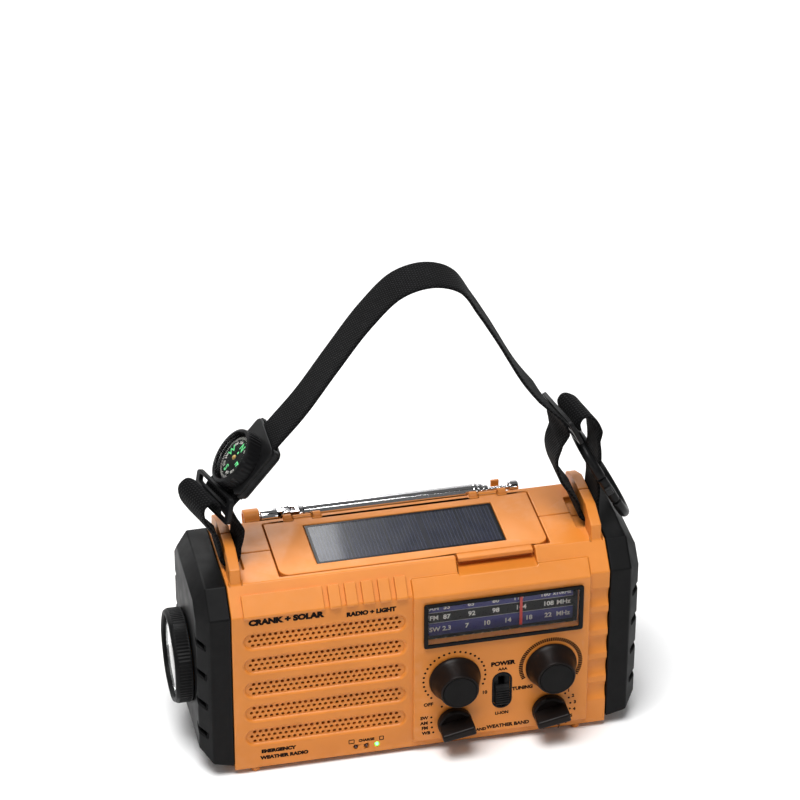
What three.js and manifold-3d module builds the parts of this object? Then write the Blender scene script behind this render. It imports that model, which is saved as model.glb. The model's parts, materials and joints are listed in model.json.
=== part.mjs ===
// Emergency radio: hand-crank and solar receiver with a flashlight, a carry strap,
// a strap compass and a carabiner. Millimetres, +Z up, +X to the right of the dial side.
// The body is laid out with X = 0 in the middle of the housing, Y = 0 on the seam between
// the front and rear shells and Z = 0 under the housing; the whole radio is moved at the
// end so that its origin is at the middle of its lowest face.
import * as THREE from 'three';
import { mergeVertices } from 'three/addons/utils/BufferGeometryUtils.js';
import Module from 'manifold-3d';

const wasm = await Module();
wasm.setup();

// ---------- driving dimensions ----------
const GAP = 0.3; // clearance between touching pieces
const WALL = 2.4;
const HALF_LENGTH = 80; // housing
const DEPTH = 31.6; // seam to front face, and seam to back face
const BREAK_Z = 77.8; // where the upright faces end and the slopes begin
const TOP_Z = 87.8;
const SLOPE = 9.8; // depth taken by each slope
const FOOT = 2.5; // height of the feet

const PANEL = { x0: -4, x1: 71.4, z0: 3.5, z1: 77.5, raise: 1.5 };
const PANEL_Y = -DEPTH - PANEL.raise;
const INNER_Y = -DEPTH + WALL; // inside of the front wall

const LID = { x0: -57, x1: 56.5, y0: -19.2, y1: 18.9, thick: 3 };
const LID_AXIS = { y: 21.4, z: TOP_Z - 0.6 };
const LID_KNUCKLES = [-40, 40];
const SOLAR = { x0: -40.7, x1: 39.8, y0: -13.9, y1: 14.8, deep: 1.5 };
const NOTCH = { x0: 16.2, x1: 49.8, z: 82.8 };

const DIAL = { x0: 0.1, x1: 68.2, z0: 52, z1: 74.2 };
const POINTER_X = 42.9;
const VOLUME = [13.5, 34.5];
const TUNING = [55, 35];
const BAND = [13.6, 12];
const WEATHER = [54.6, 12.2];
const SWITCH = [34.1, 24.9];
const LIGHTS = { x: [-28.4, -23.9, -19.3], z: 3.9 };

const SPEAKER = [-41, 40.5];
const SLOT = { x0: -76, x1: -6, high: 9.6, first: 15.9, pitch: 12.275, count: 5, deep: 1 };

const CAP_OUT = 94; // end faces of the caps
const LAMP = { z: 40, radius: 20.5, out: 102 };

const LUG = { x0: 74, x1: 78.5, top: 99, eye: [86, 91.8], half: 11.5 };
const WEBBING = { wide: 20, thick: 1.4 };

const ANTENNA = { y: 27.5, z: 85.5, pivot: -45.5 };
const CRANK = { x: -24.3, z: 41, dish: 33, hinge: -9, hingeY: 32.6, knob: 21 };
const TRAIN = { gap: 20.4, crank: 28, small: 12, big: 30, pinion: 10 };
const DOOR = { x0: 21.3, x1: 70.7, z0: 31.2, z1: 69.8 };
const BUTTONS = { x: -67.5, z: [40, 58] };
const PORTS = { x0: 49, x1: 73, z0: 13, z1: 25 };
const SCREWS = [[-72, 8], [-72, 73], [76.2, 6], [76.2, 73]];

// ---------- looks ----------
const look = (color, roughness, metalness = 0, opacity = 1) => () =>
  new THREE.MeshStandardMaterial({ color, roughness, metalness, opacity, transparent: opacity < 1 });
const orange = look(0xe08a35, 0.5);
const black = look(0x1c1c1e, 0.45);
const rubber = look(0x161617, 0.8);
const nylon = look(0x121213, 0.9);
const chrome = look(0xd0d0d2, 0.15, 1);
const steel = look(0x9a9a9c, 0.35, 1);
const clear = look(0xf2f5f7, 0.05, 0, 0.3);
const white = look(0xe8e8e4, 0.5);
const navy = look(0x10162c, 0.2);
const green = look(0x1f6b3a, 0.6);
const red = look(0xc8202a, 0.5);
const brass = look(0xb08a3c, 0.35, 1);
const cardboard = look(0x2a2a2c, 0.9);

// ---------- solids ----------
function toSolid(geometry) {
  const bare = geometry.clone();
  bare.deleteAttribute('normal');
  bare.deleteAttribute('uv');
  const merged = mergeVertices(bare, 1e-4);
  const at = merged.attributes.position.array;
  const triangles = [];
  let volume = 0;
  for (let i = 0; i < merged.index.count; i += 3) {
    const [a, b, c] = [0, 1, 2].map((k) => merged.index.array[i + k]);
    if (a === b || b === c || c === a) continue;
    triangles.push(a, b, c);
    const [p, q, r] = [a, b, c].map((k) => new THREE.Vector3().fromArray(at, 3 * k));
    volume += p.dot(q.cross(r));
  }
  if (volume < 0) triangles.reverse();
  return new wasm.Manifold(new wasm.Mesh({
    numProp: 3,
    vertProperties: new Float32Array(at),
    triVerts: new Uint32Array(triangles),
  }));
}

const join = (...solids) => solids.flat().reduce((sum, piece) => sum.add(piece));
const cut = (solid, ...tools) => tools.flat().reduce((rest, tool) => rest.subtract(tool), solid);

function box(x0, x1, y0, y1, z0, z1) {
  const geometry = new THREE.BoxGeometry(x1 - x0, y1 - y0, z1 - z0);
  return toSolid(geometry.translate((x0 + x1) / 2, (y0 + y1) / 2, (z0 + z1) / 2));
}

// Prisms of an outline: the outline is given in the two other axes, in X, Y, Z order.
const FRAMES = {
  x: [[0, 1, 0], [0, 0, 1], [1, 0, 0]],
  y: [[1, 0, 0], [0, 0, 1], [0, -1, 0]],
  z: [[1, 0, 0], [0, 1, 0], [0, 0, 1]],
};

function prism(axis, outline, from, to) {
  const shape = outline instanceof THREE.Shape
    ? outline
    : new THREE.Shape(outline.map(([u, v]) => new THREE.Vector2(u, v)));
  const settings = { depth: to - from, bevelEnabled: false, curveSegments: 6 };
  const geometry = new THREE.ExtrudeGeometry(shape, settings);
  geometry.translate(0, 0, axis === 'y' ? -to : from);
  const basis = FRAMES[axis].map((v) => new THREE.Vector3(...v));
  return toSolid(geometry.applyMatrix4(new THREE.Matrix4().makeBasis(...basis)));
}

function rod(from, to, r0, r1 = r0, sides = 20) {
  const start = new THREE.Vector3(...from);
  const along = new THREE.Vector3(...to).sub(start);
  const geometry = new THREE.CylinderGeometry(r1, r0, along.length(), sides);
  geometry.translate(0, along.length() / 2, 0);
  return toSolid(place(geometry, start, along.normalize()));
}

function place(geometry, start, direction) {
  const turn = new THREE.Quaternion().setFromUnitVectors(new THREE.Vector3(0, 1, 0), direction);
  return geometry.applyQuaternion(turn).translate(start.x, start.y, start.z);
}

// A turned piece: profile of [radius, distance along the direction] pairs.
function turned(profile, at, direction, sides = 24) {
  const points = profile.map(([r, h]) => new THREE.Vector2(r, h));
  const geometry = new THREE.LatheGeometry(points, sides);
  return toSolid(place(geometry, new THREE.Vector3(...at), new THREE.Vector3(...direction)));
}

// A stack of convex rings with the same number of points, closed at both ends.
function loft(rings) {
  const count = rings[0].length;
  const index = [];
  rings.slice(1).forEach((ring, level) => {
    for (let i = 0; i < count; i += 1) {
      const a = level * count + i;
      const b = level * count + ((i + 1) % count);
      index.push(a, b, b + count, a, b + count, a + count);
    }
  });
  const last = (rings.length - 1) * count;
  for (let i = 1; i < count - 1; i += 1) {
    index.push(0, i + 1, i, last, last + i, last + i + 1);
  }
  const geometry = new THREE.BufferGeometry();
  geometry.setAttribute('position', new THREE.Float32BufferAttribute(rings.flat(2), 3));
  geometry.setIndex(index);
  return toSolid(geometry);
}

// A flat band of webbing along a curve in the XZ plane, as wide as the webbing in Y.
function band(points, samples) {
  const curve = new THREE.CatmullRomCurve3(
    points.map(([x, z]) => new THREE.Vector3(x, z, 0)), false, 'centripetal');
  const half = WEBBING.thick / 2;
  const sides = [[], []];
  for (let i = 0; i <= samples; i += 1) {
    const p = curve.getPoint(i / samples);
    const t = curve.getTangent(i / samples);
    sides[0].push([p.x - half * t.y, p.y + half * t.x]);
    sides[1].unshift([p.x + half * t.y, p.y - half * t.x]);
  }
  return prism('y', sides.flat(), -WEBBING.wide / 2, WEBBING.wide / 2);
}

function tube(points, radius, steps, halfSides = 4) {
  const section = new THREE.Shape().absarc(0, 0, radius, 0, 2 * Math.PI);
  const path = new THREE.CatmullRomCurve3(points.map((p) => new THREE.Vector3(...p)));
  return toSolid(new THREE.ExtrudeGeometry(section, {
    steps, curveSegments: halfSides, bevelEnabled: false, extrudePath: path,
  }));
}

function stadium(cx, cz, long, high, across = true) {
  const r = Math.min(long, high) / 2;
  const reach = Math.abs(long - high) / 2;
  const shape = new THREE.Shape();
  if (across) {
    shape.absarc(cx + reach, cz, r, -Math.PI / 2, Math.PI / 2);
    shape.absarc(cx - reach, cz, r, Math.PI / 2, 1.5 * Math.PI);
  } else {
    shape.absarc(cx, cz + reach, r, 0, Math.PI);
    shape.absarc(cx, cz - reach, r, Math.PI, 2 * Math.PI);
  }
  return shape;
}

// Spur gear about a Y axis, slim teeth for a generous backlash; phase in tooth pitches.
function gear(teeth, x, z, y0, y1, phase) {
  const outline = [];
  const steps = [[-0.22, -1.1], [-0.13, 0.8], [0.13, 0.8], [0.22, -1.1]];
  for (let i = 0; i < teeth; i += 1) {
    steps.forEach(([turn, height]) => {
      const angle = (2 * Math.PI * (i + phase + turn)) / teeth;
      const r = teeth / 2 + height;
      outline.push([x + r * Math.cos(angle), z + r * Math.sin(angle)]);
    });
  }
  return prism('y', outline, y0, y1);
}

const radio = new THREE.Group();

function piece(name, solid, material, parent = radio) {
  const { vertProperties, triVerts } = solid.getMesh();
  const indexed = new THREE.BufferGeometry();
  indexed.setAttribute('position', new THREE.BufferAttribute(vertProperties, 3));
  indexed.setIndex(new THREE.BufferAttribute(triVerts, 1));
  const mesh = new THREE.Mesh(indexed, material());
  mesh.geometry.computeVertexNormals();
  mesh.name = name;
  parent.add(mesh);
}

// ---------- housing ----------
// Outline of the housing across its length, in Y and Z, inset from the outside.
function section(inset, bottom = inset) {
  const k = 0.41 * inset;
  return [
    [-DEPTH + inset, bottom], [DEPTH - inset, bottom],
    [DEPTH - inset, BREAK_Z - k], [DEPTH - SLOPE - k, TOP_Z - inset],
    [-DEPTH + SLOPE + k, TOP_Z - inset], [-DEPTH + inset, BREAK_Z - k],
  ];
}

function housing() {
  const outside = prism('x', section(0), -HALF_LENGTH, HALF_LENGTH);
  const hollow = prism('x', section(WALL), -HALF_LENGTH + WALL, HALF_LENGTH - WALL);
  const shelf = box(LID.x0 - 3, LID.x1 + 3, -22, 22, 81.9, TOP_Z);
  const scoopBack = box(NOTCH.x0 - 3, NOTCH.x1 + 3, -30, -20, 79.5, TOP_Z);
  const ledge = box(LID.x0 - 4, HALF_LENGTH - 1, 20, 30, 78.6, 86);
  const backing = join(shelf, scoopBack, ledge).intersect(outside);
  return join(cut(outside, hollow), backing);
}

function raisedTrim() {
  const out = PANEL_Y;
  const panel = prism('x', [
    [out, PANEL.z0], [out, PANEL.z1], [-27.3, 83.7], [-25.5, 82.2], [-30.5, 77], [-30.5, PANEL.z0],
  ], PANEL.x0, PANEL.x1);
  const rib = [[-DEPTH - 0.9, BREAK_Z + 0.4], [-26.6, 84.6], [-25.2, 83.2], [-30.6, BREAK_Z]];
  const ribs = [[-75, -41.3]];
  for (let i = 0; i < 5; i += 1) ribs.push([-39.1 + 7 * i, -34.3 + 7 * i]);
  return join(panel, ribs.map(([x0, x1]) => prism('x', rib, x0, x1)));
}

function lug(side) {
  const outline = [
    [-22, TOP_Z - 1.5], [-21, 94.5], [-LUG.half + 0.5, LUG.top],
    [LUG.half - 0.5, LUG.top], [21, 94.5], [22, TOP_Z - 1.5],
  ];
  const [x0, x1] = side < 0 ? [-LUG.x1, -LUG.x0] : [LUG.x0, LUG.x1];
  const eye = box(x0 - 1, x1 + 1, -LUG.half, LUG.half, LUG.eye[0], LUG.eye[1]);
  return cut(prism('x', outline, x0, x1), eye);
}

// The sunk floor under the strap, where it enters the lug.
function lugPocket(side) {
  const [x0, x1] = side < 0 ? [-LUG.x1, -70.8] : [70.8, LUG.x1];
  return box(x0, x1, -LUG.half, LUG.half, LUG.eye[0], LUG.eye[1]);
}

function gripScallops() {
  const cuts = [];
  for (let i = 0; i < 5; i += 1) {
    const z = 16.6 + 12.15 * i;
    cuts.push(rod([PANEL.x1, -DEPTH - 6.5, z], [HALF_LENGTH + 1, -DEPTH - 6.5, z], 8, 8, 28));
  }
  return cuts;
}

function speakerSlots() {
  const cuts = [];
  const middle = (SLOT.x0 + SLOT.x1) / 2;
  for (let i = 0; i < SLOT.count; i += 1) {
    const shape = stadium(middle, SLOT.first + SLOT.pitch * i, SLOT.x1 - SLOT.x0, SLOT.high);
    cuts.push(prism('y', shape, -DEPTH - 1, -DEPTH + SLOT.deep));
  }
  return cuts;
}

function lidPocket() {
  const clear = 0.5;
  const pocket = box(LID.x0 - clear, LID.x1 + clear, LID.y0 - clear, LID.y1 + 0.3,
    TOP_Z - LID.thick - clear, TOP_Z + 4);
  const lamp = box(-30, 30, -8, 8, TOP_Z - LID.thick - 1.9, TOP_Z);
  const wells = LID_KNUCKLES.map((x) => box(x - 4.4, x + 4.4, 19, 24, TOP_Z - 2.8, TOP_Z + 4));
  return [pocket, lamp, ...wells];
}

function shells() {
  const whole = join(housing(), raisedTrim(), lug(-1), lug(1), hingeEars(), antennaSocket());
  const shaped = cut(whole, lidPocket(), lugPocket(-1), lugPocket(1), hingeBores(),
    box(NOTCH.x0, NOTCH.x1, -36, LID.y0, NOTCH.z, TOP_Z + 2));
  const big = 200;
  const front = box(-big, big, -big, -GAP / 2, -big, big);
  const rear = box(-big, big, GAP / 2, big, -big, big);
  return [shaped.intersect(front), shaped.intersect(rear)];
}

function feet(y) {
  return [-71, 67.5].map((x) => rod([x, y, -FOOT], [x, y, 0.5], 1.8, 1.8, 12));
}

function frontShell(half) {
  const bore = ([x, z], r = 3.3) => rod([x, -40, z], [x, -20, z], r, r, 16);
  const lights = LIGHTS.x.map((x) => bore([x, LIGHTS.z], 1));
  const [sx, sz] = SWITCH;
  return cut(join(half, feet(-29)),
    gripScallops(), speakerSlots(), lights,
    [VOLUME, TUNING, BAND, WEATHER].map((at) => bore(at)),
    box(DIAL.x0 + 1.5, DIAL.x1 - 1.5, -40, -20, DIAL.z0 + 1.4, DIAL.z1 - 1.4),
    prism('y', stadium(sx, sz, 7.4, 17.5, false), -40, PANEL_Y + 1.2),
    box(sx - 1.7, sx + 1.7, -40, -20, sz - 6.6, sz + 6.6));
}

function rearShell(half) {
  const { x, z, dish } = CRANK;
  const tub = rod([x, 12, z], [x, DEPTH - 0.5, z], dish + 2, dish + 2, 36);
  const bay = box(DOOR.x0 - 1.8, DOOR.x1 + 1.8, 8, DEPTH - 0.5, DOOR.z0 - 1.8, DOOR.z1 + 1.8);
  const screwCuts = SCREWS.map(([sx, sz]) => join(
    rod([sx, 25, sz], [sx, 35, sz], 1.5, 1.5, 12),
    rod([sx, DEPTH - 1.5, sz], [sx, 35, sz], 2.9, 2.9, 16)));
  return cut(join(half, feet(29), tub, bay),
    rod([x, 14, z], [x, 40, z], dish, dish, 36),
    rod([x, 5, z], [x, 20, z], 3.4, 3.4, 16),
    box(DOOR.x0, DOOR.x1, 9.8, 40, DOOR.z0, DOOR.z1),
    box(PORTS.x0 + 1, PORTS.x1 - 1, 25, 40, PORTS.z0 + 2, PORTS.z1 - 2),
    BUTTONS.z.map((bz) => rod([BUTTONS.x, 25, bz], [BUTTONS.x, 40, bz], 5.4, 5.4, 20)),
    screwCuts);
}

function hingeEars() {
  return LID_KNUCKLES.flatMap((x) => [-1, 1].map((side) => rod(
    [x + side * 4.5, LID_AXIS.y, LID_AXIS.z], [x + side * 8, LID_AXIS.y, LID_AXIS.z], 2.2, 2.2, 14)));
}

function hingeBores() {
  return LID_KNUCKLES.map((x) => rod(
    [x - 7, LID_AXIS.y, LID_AXIS.z], [x + 7, LID_AXIS.y, LID_AXIS.z], 1.15, 1.15, 12));
}

// The socket that carries the antenna, its open ledge and the clip for its tip.
function antennaSocket() {
  return rod([-64, ANTENNA.y, ANTENNA.z], [-57.3, ANTENNA.y, ANTENNA.z], 4.2, 4.2, 18);
}

function withAntennaLedge(shell) {
  const { y, z } = ANTENNA;
  const clip = box(44, 47.5, 23, 32, 80, z + 1.8);
  const groove = join(rod([40, y, z], [50, y, z], 3.5, 3.5, 16), box(40, 50, y - 3.4, y + 3.4, z, 90));
  const ledge = box(-57.2, 56.6, 23.6, 40, 81.2, 100);
  const relief = box(56, 100, 24.1, 40, 82, 86.5);
  const bore = rod([-65, y, z], [-50, y, z], 2.5, 2.5, 14);
  return join(cut(shell, ledge, relief, bore), cut(clip, groove));
}

const [frontHalf, rearHalf] = shells();
piece('front_shell', frontShell(frontHalf), orange);
piece('rear_shell', withAntennaLedge(rearShell(rearHalf)), orange);

// ---------- end caps and flashlight ----------
function cap(side) {
  const ring = (x, inset, bottom) => section(inset, bottom).map(([y, z]) => [side * x, y, z]);
  const start = HALF_LENGTH + GAP;
  const outside = loft([ring(start, 0, 2.4), ring(89, 0, 4.6), ring(CAP_OUT, 6, 10)]);
  const inside = loft([ring(start - 1, WALL, 5), ring(88, WALL, 7), ring(CAP_OUT - WALL, 8, 13)]);
  const ribs = [];
  for (let i = 0; i < 4; i += 1) {
    for (const y of [-29.5, 22.5]) ribs.push(ribCut(side, y, 17 + 15 * i));
  }
  return cut(outside, inside, ribs);
}

// Slanted grip groove across the bevel of a cap.
function ribCut(side, y, z) {
  const low = Math.min(side * 90.5, side * 96);
  return prism('x', [[y, z], [y + 7, z + 2.4], [y + 7, z + 5.2], [y, z + 2.8]], low, low + 5.5);
}

function scalloped(radius, wave, lobes, x0, x1, hole) {
  const outline = [];
  const steps = lobes * 8;
  for (let i = 0; i < steps; i += 1) {
    const angle = (2 * Math.PI * i) / steps;
    const r = radius - wave * (0.5 + 0.5 * Math.cos(lobes * angle));
    outline.push([r * Math.cos(angle), LAMP.z + r * Math.sin(angle)]);
  }
  const core = rod([x0 - 1, 0, LAMP.z], [x1 + 1, 0, LAMP.z], hole, hole, 28);
  return cut(prism('x', outline, x0, x1), core);
}

const lampHole = rod([-110, 0, LAMP.z], [-85, 0, LAMP.z], 17.6, 17.6, 28);
piece('left_end_cap', cut(cap(-1), lampHole), black);
piece('right_end_cap', cut(cap(1), box(70, 100, 24.1, 40, 82, 90)), black);
piece('flashlight_bezel', scalloped(LAMP.radius, 1.2, 7, -LAMP.out, -CAP_OUT - GAP, 17.6), black);
piece('flashlight_reflector', turned(
  [[3, 82], [4, 82], [11, 88], [17.2, 98.8], [16.6, 98.8], [10, 89], [3, 83.4], [3, 82]],
  [0, 0, LAMP.z], [-1, 0, 0]), chrome);
piece('flashlight_lens', rod([-100.6, 0, LAMP.z], [-99.2, 0, LAMP.z], 17.2, 17.2, 28), clear);
piece('flashlight_led', rod([-84.6, 0, LAMP.z], [-82.2, 0, LAMP.z], 2.4, 2.4, 12), white);

// ---------- dial ----------
piece('dial_frame', cut(
  join(box(DIAL.x0, DIAL.x1, PANEL_Y - 1.3, PANEL_Y - GAP, DIAL.z0, DIAL.z1),
    box(DIAL.x0 + 1.9, DIAL.x1 - 1.9, PANEL_Y - 1, INNER_Y, DIAL.z0 + 1.8, DIAL.z1 - 1.8)),
  box(DIAL.x0 + 2.7, DIAL.x1 - 2.7, -40, -20, DIAL.z0 + 2.6, DIAL.z1 - 2.6)), black);
piece('dial_window', box(DIAL.x0 + 3, DIAL.x1 - 3, PANEL_Y - 0.9, PANEL_Y + 0.3,
  DIAL.z0 + 2.9, DIAL.z1 - 2.9), clear);
piece('dial_card', box(DIAL.x0 + 0.5, DIAL.x1 - 0.5, -26.6, -25.8, DIAL.z0 - 0.5, 73.6), navy);
piece('tuning_pointer', join(
  box(POINTER_X - 0.6, POINTER_X + 0.6, -28.4, -27.6, 54, 76.2),
  box(POINTER_X - 3, POINTER_X + 3, -28.4, -22.5, 74.2, 76.2)), red);

// ---------- controls ----------
function knob([x, z], profile) {
  const spindle = rod([x, PANEL_Y - 1, z], [x, -22.3, z], 2.9, 2.9, 16);
  return join(turned(profile, [x, PANEL_Y, z], [0, -1, 0], 32), spindle);
}

const roundKnob = [[0, 0.5], [11, 0.5], [11, 2], [9.6, 3], [8.4, 9.6], [7.8, 10.7], [0, 10.7]];
const selectorBase = [[0, 0.5], [7.4, 0.5], [7.4, 3], [6.8, 3.6], [0, 3.6]];

function selector([x, z], tilt) {
  const wing = prism('y', [[-7.2, -1.6], [7.2, -2.1], [7.2, 2.1], [-7.2, 1.6]],
    PANEL_Y - 10.7, PANEL_Y - 3);
  const turn = new THREE.Matrix4().makeRotationY(-tilt).setPosition(x, 0, z);
  return join(knob([x, z], selectorBase), wing.transform(turn.elements));
}

piece('volume_knob', knob(VOLUME, roundKnob), black);
piece('tuning_knob', knob(TUNING, roundKnob), black);
piece('band_knob', selector(BAND, 0.19), black);
piece('weather_knob', selector(WEATHER, 0.19), black);

const [switchX, switchZ] = [SWITCH[0], SWITCH[1] - 2.2];
piece('power_slider', join(
  box(switchX - 2.9, switchX + 2.9, PANEL_Y - 2, PANEL_Y + 0.8, switchZ - 4.6, switchZ + 4.6),
  box(switchX - 1.3, switchX + 1.3, PANEL_Y, -27, switchZ - 2.5, switchZ + 2.5),
  box(switchX - 3, switchX + 3, -28.7, -26, switchZ - 4, switchZ + 4)), black);

function pushButton(z) {
  return join(
    rod([BUTTONS.x, 27, z], [BUTTONS.x, 33.2, z], 5, 4.7, 20),
    rod([BUTTONS.x, 25.6, z], [BUTTONS.x, 28.6, z], 6.6, 6.6, 20));
}

piece('flashlight_button', pushButton(BUTTONS.z[0]), rubber);
piece('sos_button', pushButton(BUTTONS.z[1]), red);

piece('light_guide', join(
  box(LIGHTS.x[0] - 1.5, LIGHTS.x[2] + 1.5, -28.6, -26, LIGHTS.z - 0.8, LIGHTS.z + 2.4),
  LIGHTS.x.map((x) => rod([x, -DEPTH + 0.2, LIGHTS.z], [x, -27, LIGHTS.z], 0.7, 0.7, 10))), clear);

// ---------- inside ----------
const [spX, spZ] = SPEAKER;
piece('speaker_frame', turned(
  [[28.5, 0], [28.5, 1.6], [25, 2], [15, 13], [8, 14], [8, 13], [14, 12], [24, 1.2], [24, 0], [28.5, 0]],
  [spX, INNER_Y + GAP, spZ], [0, 1, 0]), steel);
piece('speaker_cone', turned(
  [[0, 3], [5, 4], [7, 8], [23.4, 0.4], [23.4, 0], [7, 7], [5, 3], [0, 2]],
  [spX, INNER_Y + GAP, spZ], [0, 1, 0]), cardboard);
piece('speaker_magnet', rod([spX, -14.4, spZ], [spX, -6, spZ], 15, 15, 24), steel);

function board() {
  const controls = [VOLUME, BAND, WEATHER].map(([x, z]) =>
    box(x - 6.4, x + 6.4, -21.9, -15, z - 6.4, z + 6.4));
  return join(box(-8, 74, -16, -14.4, 5, 72), controls);
}

piece('main_board', board(), green);
piece('tuning_capacitor', box(TUNING[0] - 10, TUNING[0] + 10, -21.9, -16.3,
  TUNING[1] - 10, TUNING[1] + 10), white);
piece('battery_pack', rod([9.9, 10, 13], [74.7, 10, 13], 9.2, 9.2, 20), look(0x2c6fa8, 0.5));
for (let i = 0; i < 3; i += 1) {
  const z = 39.5 + 11 * i;
  piece(`aaa_cell_${i + 1}`, join(
    rod([24, 16.4, z], [66.8, 16.4, z], 5.25, 5.25, 16),
    rod([66, 16.4, z], [68.2, 16.4, z], 1.9, 1.9, 12)), steel);
}
piece('battery_door', join(
  box(DOOR.x0 + 0.4, DOOR.x1 - 0.4, 29.4, DEPTH - 0.1, DOOR.z0 + 0.4, DOOR.z1 - 0.4),
  box(40, 52, DEPTH - 0.5, DEPTH + 1, DOOR.z1 - 6, DOOR.z1 - 3)), orange);
piece('reading_lamp', box(-29.6, 29.6, -7.6, 7.6, TOP_Z - LID.thick - 1.6, TOP_Z - LID.thick - 0.4), white);

// ---------- solar lid ----------
function lid() {
  const { x0, x1, y0, y1, thick } = LID;
  const r = 4.5;
  const outline = new THREE.Shape();
  outline.moveTo(x1, y1).lineTo(x0, y1).lineTo(x0, y0 + r);
  outline.absarc(x0 + r, y0 + r, r, Math.PI, 1.5 * Math.PI);
  outline.absarc(x1 - r, y0 + r, r, 1.5 * Math.PI, 2 * Math.PI);
  const plate = prism('z', outline, TOP_Z - thick, TOP_Z);
  const tab = box(NOTCH.x0 + 0.8, NOTCH.x1 - 0.8, y0 - 3.4, y0 + 3, TOP_Z - 2.2, TOP_Z - 0.2);
  const window = box(SOLAR.x0, SOLAR.x1, SOLAR.y0, SOLAR.y1, TOP_Z - SOLAR.deep, TOP_Z + 1);
  const hinges = LID_KNUCKLES.flatMap((x) => [
    box(x - 4, x + 4, y1 - 2, LID_AXIS.y, TOP_Z - 1.6, TOP_Z),
    rod([x - 4, LID_AXIS.y, LID_AXIS.z], [x + 4, LID_AXIS.y, LID_AXIS.z], 1.5, 1.5, 14),
    rod([x - 6.6, LID_AXIS.y, LID_AXIS.z], [x + 6.6, LID_AXIS.y, LID_AXIS.z], 0.8, 0.8, 10),
  ]);
  return cut(join(plate, tab, hinges), window);
}

piece('solar_lid', lid(), orange);
piece('solar_panel', box(SOLAR.x0 + GAP, SOLAR.x1 - GAP, SOLAR.y0 + GAP, SOLAR.y1 - GAP,
  TOP_Z - SOLAR.deep + GAP, TOP_Z - 0.4), navy);

// ---------- antenna ----------
const along = (x0, x1, r0, r1 = r0, sides = 16) =>
  rod([x0, ANTENNA.y, ANTENNA.z], [x1, ANTENNA.y, ANTENNA.z], r0, r1, sides);
const pivotRod = (r, half) => rod([ANTENNA.pivot, ANTENNA.y - half, ANTENNA.z],
  [ANTENNA.pivot, ANTENNA.y + half, ANTENNA.z], r, r, 16);

function antennaBase() {
  const tongue = box(-50, ANTENNA.pivot, ANTENNA.y - 1.1, ANTENNA.y + 1.1, ANTENNA.z - 2.6, ANTENNA.z + 2.6);
  return join(along(-63.6, -55, 2.1), along(-56.6, -49, 3.3), cut(join(tongue, pivotRod(2.6, 1.1)),
    pivotRod(1.2, 2)));
}

function antennaKnuckle() {
  const { y, z, pivot } = ANTENNA;
  const fork = join(pivotRod(2.9, 2.6), box(pivot, -40, y - 2.6, y + 2.6, z - 2.6, z + 2.6));
  const slot = box(-60, -41.8, y - 1.5, y + 1.5, z - 4, z + 4);
  return join(cut(fork, slot), pivotRod(0.9, 2), along(-40.5, -38.4, 3.25, 2.8));
}

piece('antenna_base', antennaBase(), chrome);
piece('antenna_knuckle', antennaKnuckle(), chrome);
piece('antenna_tube', cut(along(-38.1, 37, 3.25), along(-37, 40, 2.95)), chrome);
piece('antenna_section_2', cut(join(along(-36, 38, 2.6), along(37.3, 39.4, 3, 2.6)),
  along(-35, 45, 2.1)), chrome);
piece('antenna_section_3', cut(join(along(-34, 40, 1.75), along(39.7, 41.8, 2.2, 1.75)),
  along(-33, 45, 1.4)), chrome);
piece('antenna_tip', join(along(-32, 51, 1.05, 1.05, 10), along(50.3, 55.1, 2.7)), chrome);

// ---------- crank and generator ----------
const crankX = (x) => CRANK.x + x;
const barrel = (r, z0, z1) => rod([crankX(CRANK.hinge), CRANK.hingeY, CRANK.z + z0],
  [crankX(CRANK.hinge), CRANK.hingeY, CRANK.z + z1], r, r, 14);

function crankHub() {
  const disc = rod([CRANK.x, 14.5, CRANK.z], [CRANK.x, 26, CRANK.z], 11, 10.4, 28);
  const shaft = rod([CRANK.x, 4.6, CRANK.z], [CRANK.x, 15, CRANK.z], 3, 3, 16);
  const ears = [-1, 1].map((side) => {
    const [z0, z1] = side < 0 ? [-8.4, -5.6] : [5.6, 8.4];
    const post = box(crankX(CRANK.hinge) - 2.2, crankX(CRANK.hinge) + 2.2, 22, CRANK.hingeY,
      CRANK.z + z0, CRANK.z + z1);
    const block = box(crankX(CRANK.hinge) - 2.2, CRANK.x, 22, 25.8, CRANK.z + z0, CRANK.z + z1);
    return join(post, block, barrel(2.2, z0, z1));
  });
  return cut(join(disc, shaft, ears), barrel(1.35, -12, 12));
}

function crankArm() {
  const { hinge, knob: reach, z } = CRANK;
  const outline = new THREE.Shape();
  outline.moveTo(crankX(hinge + 2.6), z - 5).lineTo(crankX(reach), z - 4.6);
  outline.absarc(crankX(reach), z, 4.6, -Math.PI / 2, Math.PI / 2);
  outline.lineTo(crankX(hinge + 2.6), z + 5);
  const plate = prism('y', outline, 27, 31.2);
  const web = box(crankX(hinge - 1), crankX(hinge + 3.4), 28.6, CRANK.hingeY, z - 5, z + 5);
  const pin = rod([crankX(reach), 17.4, z], [crankX(reach), 28, z], 1.5, 1.5, 12);
  return join(plate, web, barrel(2, -5.1, 5.1), barrel(1, -8.2, 8.2), pin);
}

function crankKnob() {
  const x = crankX(CRANK.knob);
  const grip = turned([[0, 0], [5.2, 0], [6, 1], [6, 9], [4.6, 11.2], [0, 11.2]], [x, 15.3, CRANK.z], [0, 1, 0]);
  return cut(grip, rod([x, 16.9, CRANK.z], [x, 30, CRANK.z], 1.9, 1.9, 14));
}

piece('crank_hub', crankHub(), black);
piece('crank_arm', crankArm(), black);
piece('crank_knob', crankKnob(), black);

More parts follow.
